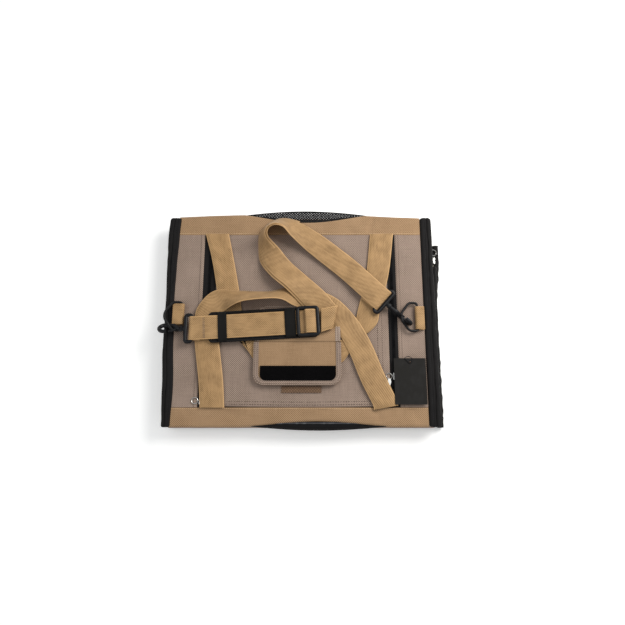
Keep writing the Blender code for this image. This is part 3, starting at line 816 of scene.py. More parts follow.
def make_strip(label, side):
    """A tan strip, turned down over the frame wire along its outer edge."""
    low_x, high_x = LEFT_IN - 3.0, RIGHT_IN - 0.3
    turn_down = ((0.0, 0.0), (0.30, -0.05), (0.62, -0.2), (0.84, -0.9), (1.0, -2.6), (0.985, -4.6),
                 (0.95, -6.2))
    flat_rows, turn_reach = 20, 6.0

    def surface(x, row):
        outer = strip_edge(x, side)
        if row <= flat_rows:
            y = STRIP_Y + (outer - turn_reach - STRIP_Y) * row / flat_rows
            drop = 0.0
        else:
            share, drop = turn_down[row - flat_rows]
            y = outer - turn_reach + turn_reach * share
        z = TOP_FACE + top_wave(x, side * y) + drop
        for start, stop, width, depth in STRIP_CREASES:
            z -= 1.5 * depth * crease(x, side * y, start, stop, width) - 0.6 * depth * crease(
                x + 5, side * y, start, stop, width)
        if row == 0:
            z -= 0.7
        return (x, side * y, min(z, TOP_FACE + 0.4))

    rows = list(range(27)) if side > 0 else list(range(26, -1, -1))
    made = cloth(label + "_strip_cloth", stops(low_x, high_x, 4.0), rows, surface, 0.9, [TAN])
    metric_uv(made)
    place_on(made, "top", "tan_fabric", label + "_strip")
    line = [(x, side * (STRIP_Y + 2.0), TOP_FACE + top_wave(x, side * STRIP_Y) + 0.15)
            for x in stops(low_x, high_x, 6.0)]
    stitched(label + "_strip_seam", [line], THREAD_TAN, (2.9, 1.9, 1.1, 0.6), "top", "tan_fabric")


def metric_uv(made):
    """Weave map straight from X and Y, for a sheet whose grid isn't in millimetres."""
    layer = made.data.uv_layers["weave"]
    for loop in made.data.loops:
        place = made.data.vertices[loop.vertex_index].co
        layer.data[loop.index].uv = (place.x / MM, place.y / MM)


def make_borders():
    """The taupe panels between the end bindings and the zips."""
    reach = STRIP_Y - 0.3
    spans = {"left": (LEFT_IN - 6.0, ZIP_LEFT[0] - 0.3, 1),
             "right": (ZIP_RIGHT[1] + 0.3, RIGHT_IN - 0.3, -1)}
    for label, (low, high, inward) in spans.items():
        inner = high if inward > 0 else low

        def surface(x, y):
            edge = abs(x - inner)
            fold = 0.5 * math.exp(-((edge - 3.0) / 2.2) ** 2) - (0.9 if edge < 0.7 else 0.0)
            z = TOP_FACE + top_wave(x, y) + fold
            return (x, y, min(z, TOP_FACE + 0.35))

        made = cloth(label + "_border_cloth", stops(low, high, 3.6), stops(-reach, reach, 4.0), surface,
                     0.9, [TAUPE])
        place_on(made, "top", "taupe_fabric", label + "_border_panel")
        x = inner - inward * 5.5
        line = [(x, y, TOP_FACE + top_wave(x, y) + 0.45) for y in stops(-reach, reach, 6.0)]
        place_on(seam(label + "_border_seam", [line], THREAD_TAUPE), "top", "taupe_fabric")


def make_door():
    """The zipped top door: hemmed along its right and front edges, a little slack in the middle."""
    reach = STRIP_Y - 0.3
    right, front = DOOR[1], -reach

    def surface(x, y):
        from_right, from_front, from_left = right - x, y - front, x - DOOR[0]
        z = TOP_FACE + top_wave(x, y) * 1.15
        z += 0.55 * hem(from_right, 19.5) + 0.55 * hem(from_front, 10.0)
        z += 0.45 * math.sin(x / 1.9 + 2.0 * ripple(x, y, 40)) * math.exp(-((from_front - 26) / 26) ** 2) * 0.6
        z -= 0.4 * (math.exp(-((from_right - 10.7) / 1.2) ** 2) + math.exp(-((from_right - 17.7) / 1.2) ** 2))
        z -= 0.35 * (math.exp(-((from_front - 3.8) / 1.0) ** 2) + math.exp(-((from_front - 8.2) / 1.0) ** 2))
        if min(from_right, from_front, from_left) < 0.5:
            z -= 0.8
        if from_front < 1.2:
            z -= 0.9
        dip = 2.2 * math.sin(math.pi * (x - DOOR[0]) / (right - DOOR[0]))
        shrink = max(0.0, 1.0 - from_front / 60.0)
        return (x, y + (1.8 - dip) * shrink, min(z, TOP_FACE + 0.2))

    made = cloth("top_door_cloth", stops(*DOOR, 3.2), stops(front, reach, 3.4), surface, 0.9, [TAUPE])
    place_on(made, "top", "taupe_fabric", "top_door")
    lines = []
    for inset in (10.7, 17.7):
        x = right - inset
        lines.append([(x, y, surface(x, y)[2] + 0.18) for y in stops(front, reach, 5.0)])
    for inset in (3.8, 8.2):
        places = [surface(x, front + inset) for x in stops(DOOR[0] + 2, right - 16, 5.0)]
        lines.append([(x, y, z + 0.18) for x, y, z in places])
    stitched("top_door_seams", lines, THREAD_TAUPE, (4.0, 2.7, 1.5, 0.8), "top", "taupe_fabric")


def hem(distance, width):
    """1 over a hem's doubled cloth, easing to 0 past its inner edge."""
    return 1.0 / (1.0 + math.exp((distance - width) / 0.8))


def make_zips():
    """Ribbed zip tape with its closed coil of teeth, sunk between the door and the borders."""
    reach = STRIP_Y - 0.3
    for label, span in (("left", ZIP_LEFT), ("right", ZIP_RIGHT)):
        middle = (span[0] + span[1]) / 2

        def surface(x, y):
            crown = 0.3 * math.exp(-((x - middle) / 3.2) ** 2)
            return (x, y, ZIP_FACE - 0.5 + 0.25 * ripple(x, y, 18) + crown)

        made = cloth(label + "_zip_cloth", stops(*span, 2.4, (0.6, 1.4)), stops(-reach, reach, 6.0),
                     surface, 0.7, [BLACK_TAPE])
        place_on(made, "top", "black_fabric", label + "_zip_tape")
        teeth = []
        tooth_pitch = 1.45
        for index in range(int(2 * reach / tooth_pitch)):
            y = -reach + 1 + index * tooth_pitch
            for side in (-1, 1):
                teeth.append(((middle + side * 1.25, y + 0.36 * side, ZIP_FACE + 0.1), (1, 0.12 * side, 0)))
        place_on(beads(label + "_zip_teeth", teeth, PLASTIC, 3.1, 0.95, 1.1), "top", "black_plastic")


STRAIGHT = ((-172.0, 0.0, 0.0), (172.0, 0.0, 0.0))
LEFT_BOW = (                                      # y, then how far the outer and inner edges stand outward
    (-172.0, 0.0, 0.0), (-114.0, 1.8, -1.6), (-37.0, 5.2, 1.8), (35.0, 4.2, 4.2), (85.0, 6.0, 3.4),
    (141.0, 6.6, 1.5), (172.0, 5.0, 0.0),
)


def bow_at(bow, y):
    """The two outward shifts of a bound edge at y."""
    for (first, outer_a, inner_a), (second, outer_b, inner_b) in zip(bow, bow[1:]):
        if y <= second:
            break
    share = eased(clamped((y - first) / (second - first)))
    return outer_a + (outer_b - outer_a) * share, inner_a + (inner_b - inner_a) * share


def make_binding(label, inner, outer, crest, bow):
    """A puffy bound edge: cloth wrapped over the end of the top, with a row of stitches along it."""
    outward = math.copysign(1.0, outer - inner)
    width = abs(outer - inner)
    profile = (
        (0.0, -3.4), (0.02, -2.3), (0.10, -1.0), (0.25, -0.35), (0.33, -0.95), (0.42, -0.2), (0.52, -0.1),
        (0.59, -1.3), (0.64, -0.3), (0.74, 0.0), (0.82, -0.5), (0.94, -1.8), (1.0, -4.0), (0.98, -6.0),
        (0.86, -7.0), (0.45, -6.6), (0.1, -5.2),
    )
    rings = []
    for y in stops(-EDGE_Y, EDGE_Y, 3.5):
        lean = 1.6 * ripple(0, y, 60, outer) + 1.0 * ripple(3, y, 17, outer)
        ring = []
        for index, (share, level) in enumerate(profile):
            swell = 1.6 * ripple(index * 5.0, y, 11, outer) * (1.0 if 0.3 < share < 1.0 else 0.3)
            end = math.exp(-(EDGE_Y - abs(y)) / 1.0)
            pull = (share - 0.5) * (1 - 0.25 * end)
            outer_shift, inner_shift = bow_at(bow, y)
            x = inner + outward * (width * (0.5 + pull) + inner_shift + (outer_shift - inner_shift) * share)
            x += outward * (min(0.0, lean * 0.8) if share > 0.8 else 0.0)
            z = crest + level * 1.05 + min(0.0, swell) - end * 1.2 * (level > -3)
            if 0.5 < share < 0.7 and level > -3:
                x += outward * 1.5 * ripple(7, y, 35, outer)
            ring.append((x, y, z))
        rings.append(ring)
    made = loft(label + "_binding_cloth", rings, BLACK_TAPE, sharp=70)
    place_on(made, "top", "black_fabric", label + "_binding")
    line = []
    for y in stops(-EDGE_Y + 2, EDGE_Y - 2, 8.0):
        outer_shift, inner_shift = bow_at(bow, y)
        x = inner + outward * (width * 0.33 + inner_shift + (outer_shift - inner_shift) * 0.33)
        line.append((x, y, crest - 0.75))
    stitched(label + "_binding_seam", [line], THREAD_BLACK, (3.4, 2.3, 0.8, 0.5), "top", "black_fabric")


def make_label():
    """A small leather label with a stitched edge; its look carries the pressed pattern."""
    left, right, front, rear, _, top = sides("brown_label")

    def surface(x, y):
        edge = min(x - left, right - x, y - front, rear - y)
        return (x, y, top - 0.05 - (0.25 if edge < 0.3 else 0.0))

    made = cloth("label_patch", stops(left, right, 2.0, (0.3, 0.9)), stops(front, rear, 1.5, (0.3, 0.9)),
                 surface, 0.5, [LEATHER])
    place_on(made, "top", "brown_leatherette", "brown_label")
    inset = 1.2
    corners = [(left + inset, front + inset), (right - inset, front + inset), (right - inset, rear - inset),
               (left + inset, rear - inset), (left + inset, front + inset)]
    line = [(x, y, top + 0.05) for x, y in corners]
    stitched("label_seam", [line], THREAD_TAUPE, (2.1, 1.4, 0.5, 0.35), "top", "brown_leatherette")


def bulge_edge(x, side):
    """Y of the outer edge of a window's cloth where it stands out past the top."""
    left, right, reach = (-97.0, 106.0, 186.0) if side > 0 else (-90.0, 145.0, 175.6)
    share = clamped((x - left) / (right - left))
    start = 178.2 if side > 0 else 168.0
    return start + (reach - start) * math.sin(math.pi * share) ** 0.9


def make_bulges():
    """The slack parts of the wall windows that show past the top's edges: netting behind, cloth in front."""
    root = 156.0                                  # how far out the slack parts start, under the strips

    def height(x, y):
        reach = max(1.0, bulge_edge(x, 1) - root)
        share = clamped((y - root) / reach)
        return 29.9 - 3.0 * share ** 3

    def inside(x, y):
        return y <= bulge_edge(x, 1) + 0.2 and y >= strip_edge(x, 1) - 5.0

    made = net("rear_window_net", (-96.0, root), (105.0, 187.0), height, NET, 3.2, 2.45, 0.5, inside, 1.0)
    place_on(made, "top", "black_mesh", "rear_window_rim")
    rim = [(x, bulge_edge(x, 1) + 0.3, height(x, bulge_edge(x, 1)) - 0.2) for x in stops(-98, 107, 5.0)]
    place_on(tube("rear_window_piping", rim, 1.0, BLACK_TAPE, sides=8), "top", "black_fabric")

    def taper(share):
        return 0.2 + 0.8 * min(1.0, 5.0 * share, 5.0 * (1.0 - share))

    band = [(x, strip_edge(x, 1) - 0.2 - 2.4 * (1.0 - taper((x + 92.0) / 194.0)), 30.2)
            for x in stops(-92, 102, 5.0)]
    made = tube("rear_window_band", band, 3.6, BLACK_TAPE, sides=10, flat=0.42, radius_at=taper)
    place_on(made, "top", "black_fabric")

    def droop(x):
        return clamped((bulge_edge(x, -1) - 170.0) / 4.5)

    def fold(x, row):
        edge = bulge_edge(x, -1)
        share = row / 10.0
        y = root + (edge - root) * math.sin(share * math.pi / 2)
        fall = 0.6 + 3.4 * droop(x)
        z = 30.5 - fall * (1 - math.cos(share * math.pi / 2)) + 0.25 * ripple(x, row * 3.0, 16, 9.0)
        return (x, -y, z)

    made = cloth("front_window_fold", stops(-93, 148, 5.0), list(range(10, -1, -1)), fold, 0.8, [BLACK])
    metric_uv(made)
    place_on(made, "top", "black_mesh", "front_window_rim")
    rim = [(x, -bulge_edge(x, -1) + 0.4, 29.9 - 2.4 * droop(x)) for x in stops(-92, 147, 5.0)]
    place_on(tube("front_window_piping", rim, 1.7, BLACK_TAPE, sides=8), "top", "black_fabric")


# ---------------------------------------------------------------- handles and their wrap
REAR_HANDLE = (
    (-139.5, 143, 35.3, 0, 0), (-128, 95, 35.9, -12, 0), (-118, 43, 35.9, -12, 0), (-112, 0, 35.9, -12, 0),
    (-104, -30, 35.9, -30, 0), (-84, -50, 35.9, -62, 0), (-55, -54, 35.9, -90, 0), (45, -56, 35.9, -90, 0),
    (80, -49, 35.9, -122, 0), (100, -20, 35.9, -157, 0), (107, 12, 35.9, -168, 0), (122, 72, 35.9, -170, 0),
    (131, 143, 35.3, -178, 0),
)
FRONT_HANDLE = (
    (-136.5, -143, 35.6, 180, 0), (-140, -100, 36.7, 182, 0), (-148, -44, 37.6, 184, 0),
    (-151, -14, 37.8, 174, 0), (-148, 9, 38.2, 152, 0), (-130, 27.5, 39.4, 118, -4),
    (-95, 31, 50.4, 94, -46, 0.97), (-55, 33, 50.6, 88, -55, 0.95), (-30, 36, 48.4, 85, -44, 0.97),
    (-12, 35.5, 41.8, 83, -16), (4, 33, 37.8, 80, 0), (44, 16, 37.6, 58, 0), (72, -14, 37.6, 40, 0),
    (92, -50, 37.6, 26, 0), (110, -96, 37.4, 20, 0), (128, -135, 36.6, 11, 0), (129.4, -143, 36.0, 10, 0),
)


def make_handles():
    place_on(strap("rear_handle_webbing", REAR_HANDLE, WEB), "top", "tan_webbing", "rear_handle")
    place_on(strap("front_handle_webbing", FRONT_HANDLE, WEB), "top", "tan_webbing", "front_handle")


def make_wrap():
    """The handles' wrap: a bound cloth sleeve, its flap open to show the hook tape."""
    left, right, front, rear, _, face = sides("handle_wrap_flap")
    corner = 17.0

    def flap(level, rim):
        def surface(u, v):
            y = front + (rear - front) * v
            inset = corner_inset(y - front, corner)
            x = left + inset + (right - left - 2 * inset) * u
            z = level + 0.5 * ripple(x, y, 30, 3.3)
            edge = min(x - left - inset, right - inset - x, y - front)
            z += rim * (1.0 if edge < 8.0 else 0.0) - (0.8 if edge < 0.5 else 0.0)
            return (x, y, z)
        return surface

    columns = [index / 60 for index in range(61)]
    rows = [(index / 30) ** 1.3 for index in range(31)]
    made = cloth("wrap_flap_cloth", columns, rows, flap(face - 1.2, 0.0), 2.0, [TAN])
    metric_uv(made)
    place_on(made, "wrap_flap", "tan_fabric", "handle_wrap_flap")
    outline = wrap_outline(left, right, front, rear, corner, 4.2)
    border = band_along("wrap_flap_binding", outline, 8.2, lambda x, y: face - 0.8, 1.5, TAUPE)
    place_on(border, "wrap_flap", "taupe_fabric")
    lines = [[(x, y, face + 0.12) for x, y in wrap_outline(left, right, front, rear, corner, inset)]
             for inset in (2.2, 6.2)]
    stitched("wrap_flap_seams", lines, THREAD_TAUPE, (3.4, 2.4, 1.1, 0.7), "wrap_flap", "taupe_fabric")
    make_hook_tape()
    make_wrap_back()


WRAP_FALL = (
    (-40.5, 38.6), (-40.2, 39.6), (-38.5, 40.3), (-34.0, 40.5), (-30.0, 40.2), (-26.0, 39.2),
    (-20.0, 38.2), (-10.0, 36.6), (0.0, 35.7), (8.0, 35.3), (14.0, 35.1), (20.0, 34.9),
)


def wrap_fall(y):
    """Height of the wrap's rear half, which lies on the handles and slopes down to the door."""
    return table_at(WRAP_FALL, y)


def make_wrap_back():
    """The wrap's rear half: bound cloth with two round corners, its rear edge showing past the pad."""
    left, right = sides("handle_wrap_sleeve")[:2]
    right += 17.0                                 # the bound cloth reaches past the sewn sleeve
    rear, corner = 20.0, 21.0
    rows = [-40.5, -40.2, -38.5, -36, -34, -32, -30, -28, -26, -23, -20, -16, -12, -8, -4, -1, 2, 5, 8,
            11, 13, 15, 17, 18.2, 19.2, 20.0]

    def back(u, y):
        inset = corner_inset(rear - y, corner)
        x = left + inset + (right - left - 2 * inset) * u
        return (x, y, wrap_fall(y) + (0.2 * ripple(x, y, 25, 8.0) if y > -40 else 0.0))

    made = cloth("wrap_back_cloth", [index / 40 for index in range(41)], rows, back, 0.9, [TAN])
    metric_uv(made)
    place_on(made, "top", "tan_fabric", "handle_wrap_sleeve")
    flipped = wrap_outline(left, right, -rear, 40.4, corner, 4.1)
    outline = [(x, -y) for x, y in flipped]
    border = band_along("wrap_back_binding", outline, 8.2, lambda x, y: wrap_fall(y) + 0.25, 0.8,
                        TAUPE)
    place_on(border, "top", "taupe_fabric")
    lines = []
    for inset in (1.9, 6.4):
        line = [(x, -y) for x, y in wrap_outline(left, right, -rear, 40.4, corner, inset)]
        lines.append([(x, y, wrap_fall(y) + 0.85) for x, y in line])
    stitched("wrap_back_seams", lines, THREAD_PALE, (2.9, 2.2, 0.9, 0.6), "top", "taupe_fabric")


def wrap_outline(left, right, front, rear, corner, inset):
    """Three sides of the flap, with round front corners, moved in by inset."""
    radius = corner - inset
    points = [(left + inset, rear - 0.4), (left + inset, (rear + front) / 2)]
    for cx, start in ((left + corner, 180), (right - corner, 270)):
        for step in range(9):
            turn = math.radians(start + 90 * step / 8)
            points.append((cx + radius * math.cos(turn), front + corner + radius * math.sin(turn)))
    points += [(right - inset, (rear + front) / 2), (right - inset, rear - 0.4)]
    return [point[:2] for point in filled_in(points, 5.0)]


def filled_in(points, step):
    """Extra points on the long runs of an outline."""
    made = []
    for first, second in zip(points, points[1:]):
        gap = math.hypot(second[0] - first[0], second[1] - first[1])
        pieces = max(1, round(gap / step))
        for piece in range(pieces):
            share = piece / pieces
            made.append((first[0] + (second[0] - first[0]) * share,
                         first[1] + (second[1] - first[1]) * share))
    made.append(points[-1])
    return made


def band_along(name, outline, width, height, thickness, look):
    """A flat tape folded over an edge, along an outline. height(x, y) is its middle level."""
    section = ((-1.0, -0.3), (-0.96, 0.5), (-0.5, 0.62), (0.5, 0.62), (0.96, 0.4), (1.0, -0.5),
               (0.0, -1.0))
    rings = []
    half = width / 2
    for index, (x, y) in enumerate(outline):
        before = outline[max(index - 1, 0)]
        after = outline[min(index + 1, len(outline) - 1)]
        run = Vector((after[0] - before[0], after[1] - before[1], 0)).normalized()
        side = Vector((run.y, -run.x, 0))
        ring = []
        for share, level in section:
            ring.append(Vector((x, y, height(x, y) + level * thickness)) + side * half * share)
        rings.append(ring)
    return loft(name, rings, look, sharp=60)


def make_hook_tape():
    """Hook tape on the flap: a backing with round front corners and a field of tiny hooks."""
    left, right, front, rear, base, _ = sides("hook_and_loop_strip")
    corner = 9.0
    pitch = 1.25

    def surface(u, y):
        inset = corner_inset(y - front, corner)
        return (left + inset + (right - left - 2 * inset) * u, y, base + 0.3)

    columns = [index / 40 for index in range(41)]
    made = cloth("hook_tape_backing", columns, stops(front, rear, 1.5, (0.4, 1.0)), surface, 0.7, [HOOKS])
    metric_uv(made)
    place_on(made, "wrap_flap", "hook_and_loop", "hook_and_loop_strip")
    places = []
    for row in range(int((rear - front) / pitch)):
        y = front + 0.9 + row * pitch
        inset = corner_inset(y - front, corner)
        for column in range(int((right - left - 2 * inset) / pitch) - 1):
            x = left + inset + 1.2 + column * pitch + (row % 2) * 0.6
            places.append(((x, y, base + 0.55), (ripple(x, y, 1.7, 2.0), ripple(x, y, 1.9, 7.0), 1.2)))
    place_on(beads("hook_tape_hooks", places, HOOKS, 0.9, 0.5, 0.5), "wrap_flap", "hook_and_loop")


# ---------------------------------------------------------------- rings, hooks and pulls
def make_ring(label, bar, tilt):
    """A trapezoid wire D-ring with a butt joint on its straight bar."""
    outline = [(0, 23), (13.5, 23), (26, 5), (26, -5), (13.5, -23), (0, -23)]
    rise = math.tan(math.radians(tilt))
    points = [(bar[0] - x, bar[1] + y, bar[2] + x * rise) for x, y in outline]
    made = tube(label + "_d_ring_wire", round_outline(points, 5.0), 2.0, PAINTED, closed=True, sides=14)
    place_on(made, label + "_ring", "black_metal", label + "_d_ring")


def between(first, second, step):
    pieces = max(1, round((second - first).length / step))
    return [first.lerp(second, piece / pieces) for piece in range(pieces)]


def round_outline(corners, radius):
    """A closed outline with round corners and points about 3 mm apart."""
    path = filleted(corners, radius)
    return [place for first, second in zip(path, path[1:] + path[:1])
            for place in between(first, second, 3.0)]


def ring_tab(label, bar, sewn_x, shift, width=TAB_WIDTH):
    """The webbing tab that holds a D-ring, sewn under the end binding."""
    away = math.copysign(1.0, sewn_x - bar[0])
    y = bar[1] + shift
    reach = BAR_REACH
    stations = [(sewn_x, y, 34.4, 90, 0), (bar[0], y, bar[2] - reach, 90, 0)]
    for step in range(1, 6):
        turn = math.radians(-90 + 180 * step / 6)
        stations.append((bar[0] - away * reach * math.cos(turn), y, bar[2] + reach * math.sin(turn), 90, 0))
    stations.append((bar[0], y, bar[2] + reach, 90, 0))
    stations.append((sewn_x, y, bar[2] + reach - 0.6, 90, 0))
    made = strap(label + "_ring_loop", stations, WEB, width, WEBBING_THICK, 1.2)
    place_on(made, "top", "tan_webbing", label + "_ring_tab")


def make_hook(label, jaw, heading, roll, bend, bars, body):
    """A swivel snap hook: round jaw, stem and collar, the webbing's frame, and a sprung thumb gate."""
    along = Vector((math.cos(math.radians(heading)), math.sin(math.radians(heading)), 0))
    level = Vector((-along.y, along.x, 0))
    upright = Matrix.Rotation(math.radians(roll), 3, along) @ Vector((0, 0, 1))
    centre = Vector(jaw)
    centre_u = bend - 14

    def at(u, v, w=0.0):
        return centre + along * u + upright * v + level * w

    far = []
    for step in range(13):
        turn = math.radians(270 - 180 * step / 12)
        far.append(at(centre_u + bend * math.cos(turn), bend * math.sin(turn)))
    path = [at(18, 0), at(16.5, 0), at(15, 0), at(12, -0.35 * bend), at(9, -0.78 * bend), at(5, -bend), *far,
            at(centre_u + 4, bend)]
    shape = ((0.0, 1.2), (0.2, 1.25), (0.3, 1.05), (0.6, 1.0), (0.85, 1.0), (1.0, 0.85))

    made = tube(label + "_jaw", smooth_path(path, 1.2), 3.2, PLASTIC, sides=12,
                radius_at=lambda share: table_at(shape, share))
    place_on(made, body, "black_plastic", label + "_hook_jaw")
    collar = ((-1.0, 2.2), (-1.2, 3.4), (-2.6, 4.2), (-3.6, 4.1), (-4.2, 3.0), (-5.0, 3.0), (-5.4, 4.2),
              (-8.6, 4.4), (-9.6, 3.8), (-10.6, 2.6))
    if bars[0] > 30:
        collar += ((-14.0, 2.5), (-18.0, 2.4), (-19.5, 2.4))
    rings = []
    for u, radius in collar:
        turns = [math.tau * k / 14 for k in range(14)]
        rings.append([at(bars[0] + u, radius * math.cos(turn), radius * math.sin(turn)) for turn in turns])
    place_on(loft(label + "_swivel", rings, PLASTIC, sharp=35), body, "black_plastic")

    corners = [centre + along * u + level * side * FRAME_HALF
               for u, side in ((bars[0], 1), (bars[1], 1), (bars[1], -1), (bars[0], -1))]
    made = tube(label + "_webbing_frame", round_outline(corners, 3.5), 3.0, PLASTIC, closed=True, sides=12, flat=0.85)
    place_on(made, body, "black_plastic", label + "_hook_frame")

    root, tip = at(11.5, 3.8), at(centre_u + 7.2, bend + 0.2)
    gate = [root.lerp(tip, step / 8) + upright * 0.5 * math.sin(math.pi * step / 8) for step in range(9)]
    made = tube(label + "_gate_lever", gate, 1.5, PLASTIC, sides=10)
    place_on(made, label + "_gate", "silver_metal", label + "_hook_gate")
    nub = [root.lerp(tip, 0.45) + upright * height for height in (0.8, 1.9, 2.7, 3.0)]
    made = tube(label + "_gate_thumb", nub, 1.5, PLASTIC, sides=10, radius_at=lambda share: 1.0 - 0.5 * share ** 3)
    place_on(made, label + "_gate", "black_plastic")


def make_zip_pulls():
    """Sliders on the zips, with round pulls; the right one carries a small enamelled tag."""
    for label in ("left", "right"):
        x0, x1, y0, y1, _, z1 = sides(label + "_zip_slider")
        slider_body(label + "_slider_shell", (x0, y0), (x1, y1), ZIP_FACE + 0.25, z1, label + "_zip",
                    label + "_zip_slider")
        pull_ring(label + "_pull_loop", label + "_pull_ring", label + "_pull")
    low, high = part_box("right_pull_ring")
    x, y, z = (low.x + high.x) / 2 / MM, low.y / MM, high.z / MM
    rings = []
    for share in (0.0, 0.12, 0.5, 0.9, 1.0):
        wide = (2.2, 2.9, 2.9, 2.4, 1.6)[int(share * 4 + 0.5)]
        yy = y + 1.4 - share * 10.5
        rings.append([(x - wide, yy, z - 0.2), (x - wide * 0.9, yy, z + 0.4),
                      (x + wide * 0.9, yy, z + 0.4), (x + wide, yy, z - 0.2), (x, yy, z - 0.4)])
    place_on(loft("right_pull_tag", rings, WHITE_TAB, sharp=60), "right_pull", "silver_metal")


def slider_body(name, low, high, base, top, body, node_name):
    """A zip slider: a waisted shell with a raised bridge along its middle."""
    rings = []
    length = high[1] - low[1]
    for step in range(13):
        share = step / 12
        y = low[1] + length * share
        waist = 1.0 - 0.16 * math.sin(math.pi * share) ** 2
        end = 0.72 + 0.28 * math.sin(math.pi * share) ** 0.3
        half = (high[0] - low[0]) / 2 * waist * end
        middle = (low[0] + high[0]) / 2
        ridge = (top - base) * (0.62 + 0.38 * math.sin(math.pi * share) ** 0.7)
        rings.append([(middle - half, y, base), (middle - half, y, base + 0.45 * ridge),
                      (middle - half * 0.45, y, base + 0.62 * ridge), (middle - half * 0.3, y, base + ridge),
                      (middle + half * 0.3, y, base + ridge), (middle + half * 0.45, y, base + 0.62 * ridge),
                      (middle + half, y, base + 0.45 * ridge), (middle + half, y, base)])
    place_on(loft(name, rings, SILVER, sharp=40), body, "silver_metal", node_name)


def pull_ring(name, node_name, body):
    low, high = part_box(node_name)
    centre = (low + high) / 2 / MM
    wire, count = 0.65, 28
    radius = (high.x - low.x) / 2 / MM - wire
    turns = [math.tau * step / count for step in range(count)]
    path = [centre + Vector((radius * math.cos(turn), radius * math.sin(turn), 0)) for turn in turns]
    made = tube(name, path, wire, SILVER, closed=True, sides=8)
    place_on(made, body, "silver_metal", node_name)


# ---------------------------------------------------------------- shoulder strap
def along_pad(distance, across=0.0):
    turn = math.radians(STRAP_TURN)
    x = PAD_START[0] + distance * math.cos(turn) - across * math.sin(turn)
    y = PAD_START[1] + distance * math.sin(turn) + across * math.cos(turn)
    return x, y


def hairpin(bar, heading, tail):
    """Stations from a sewn tail, round a bar, to the upper layer, leaving along heading."""
    turn = math.radians(heading)
    reach = BAR_REACH

    def at(u, z):
        return (bar[0] + u * math.cos(turn), bar[1] + u * math.sin(turn), z, heading + 90, 0)

    made = [at(tail, bar[2] - 1.6), at(6, bar[2] - 2.6), at(0, bar[2] - reach)]
    for step in range(1, 6):
        bend = math.radians(-90 - 180 * step / 6)
        made.append(at(reach * math.cos(bend), bar[2] + reach * math.sin(bend)))
    return made + [at(0, bar[2] + reach), at(6, bar[2] + 2.6)]


def frame_bar(jaw, heading, reach):
    turn = math.radians(heading)
    return (jaw[0] + reach * math.cos(turn), jaw[1] + reach * math.sin(turn), jaw[2])


LONG_STRAP = (                                    # x, y, z, compass angle of the side, bank, stretch
    (31, -7.2, 46.6, 90, 0), (48, -3, 46.2, 80, 0), (53, -1, 43.6, 78, 0), (49, 1.5, 40.6, 76, 0),
    (34, 16, 40.1, 56, 0), (20, 31, 40.3, 48, 0), (-9, 58, 47.0, 45, -16), (-33, 80, 45.8, 40, -12),
    (-51, 103, 46.6, 30, 26, 0.95), (-61, 125, 51.0, 12, 63, 0.87), (-60, 142, 51.4, -22, 66, 0.86),
    (-48, 153, 51.4, -62, 62, 0.90), (-31, 156, 49.8, -86, 48, 0.97), (-11, 147.5, 44.6, -112, 28),
    (18, 127, 39.2, -126, 8), (50, 101, 38.4, -128, 0), (80, 75, 39.2, -129, 0),
)


def make_strap():
    left_end = hairpin(frame_bar(LEFT_HOOK, 0.0, LEFT_FRAME[1]), 0.0, 14)
    stations = list(left_end)
    for distance, z in ((-4, 45.9), (12, 44.9), (60, 45.0), (110, 44.9), (150, 44.9), (160, 45.2)):
        stations.append((*along_pad(distance), z, 90 + STRAP_TURN, 0))
    made = strap("padded_strap_webbing", stations, WEB, step=1.6)
    bent(made, "top", "left_hook", (-131, -20, 45), (-176, -20, 45), "tan_webbing", "strap_padded_webbing")

    bar = frame_bar(RIGHT_HOOK, RIGHT_HOOK_HEADING, RIGHT_FRAME[1])
    stations = list(LONG_STRAP) + list(reversed(hairpin(bar, RIGHT_HOOK_HEADING, 26)))
    made = strap("long_strap_webbing", stations, WEB, step=1.8)
    turn = math.radians(RIGHT_HOOK_HEADING)
    start = (bar[0] + 46 * math.cos(turn), bar[1] + 46 * math.sin(turn), bar[2])
    bent(made, "top", "right_ring", start, bar, "tan_webbing", "strap_long_webbing")
    under = []
    for x, y, z, azimuth, bank, *stretch in LONG_STRAP[5:14]:
        turn = math.radians(azimuth)
        under.append((x - 3.2 * math.cos(turn), y - 3.2 * math.sin(turn), z - 1.9, azimuth, bank, *stretch))
    place_on(strap("long_strap_under_layer", under, WEB, step=2.0), "top", "tan_webbing")
    lines = []
    for distance in (-8.0, -6.2):
        (x, y), (far_x, far_y) = along_pad(distance, -17.5), along_pad(distance, 17.5)
        lines.append([(x, y, 46.75), (far_x, far_y, 46.75)])
    stitched("padded_strap_bartack", lines, THREAD_TAUPE, (2.6, 1.8, 1.0, 0.6), "top", "tan_webbing")


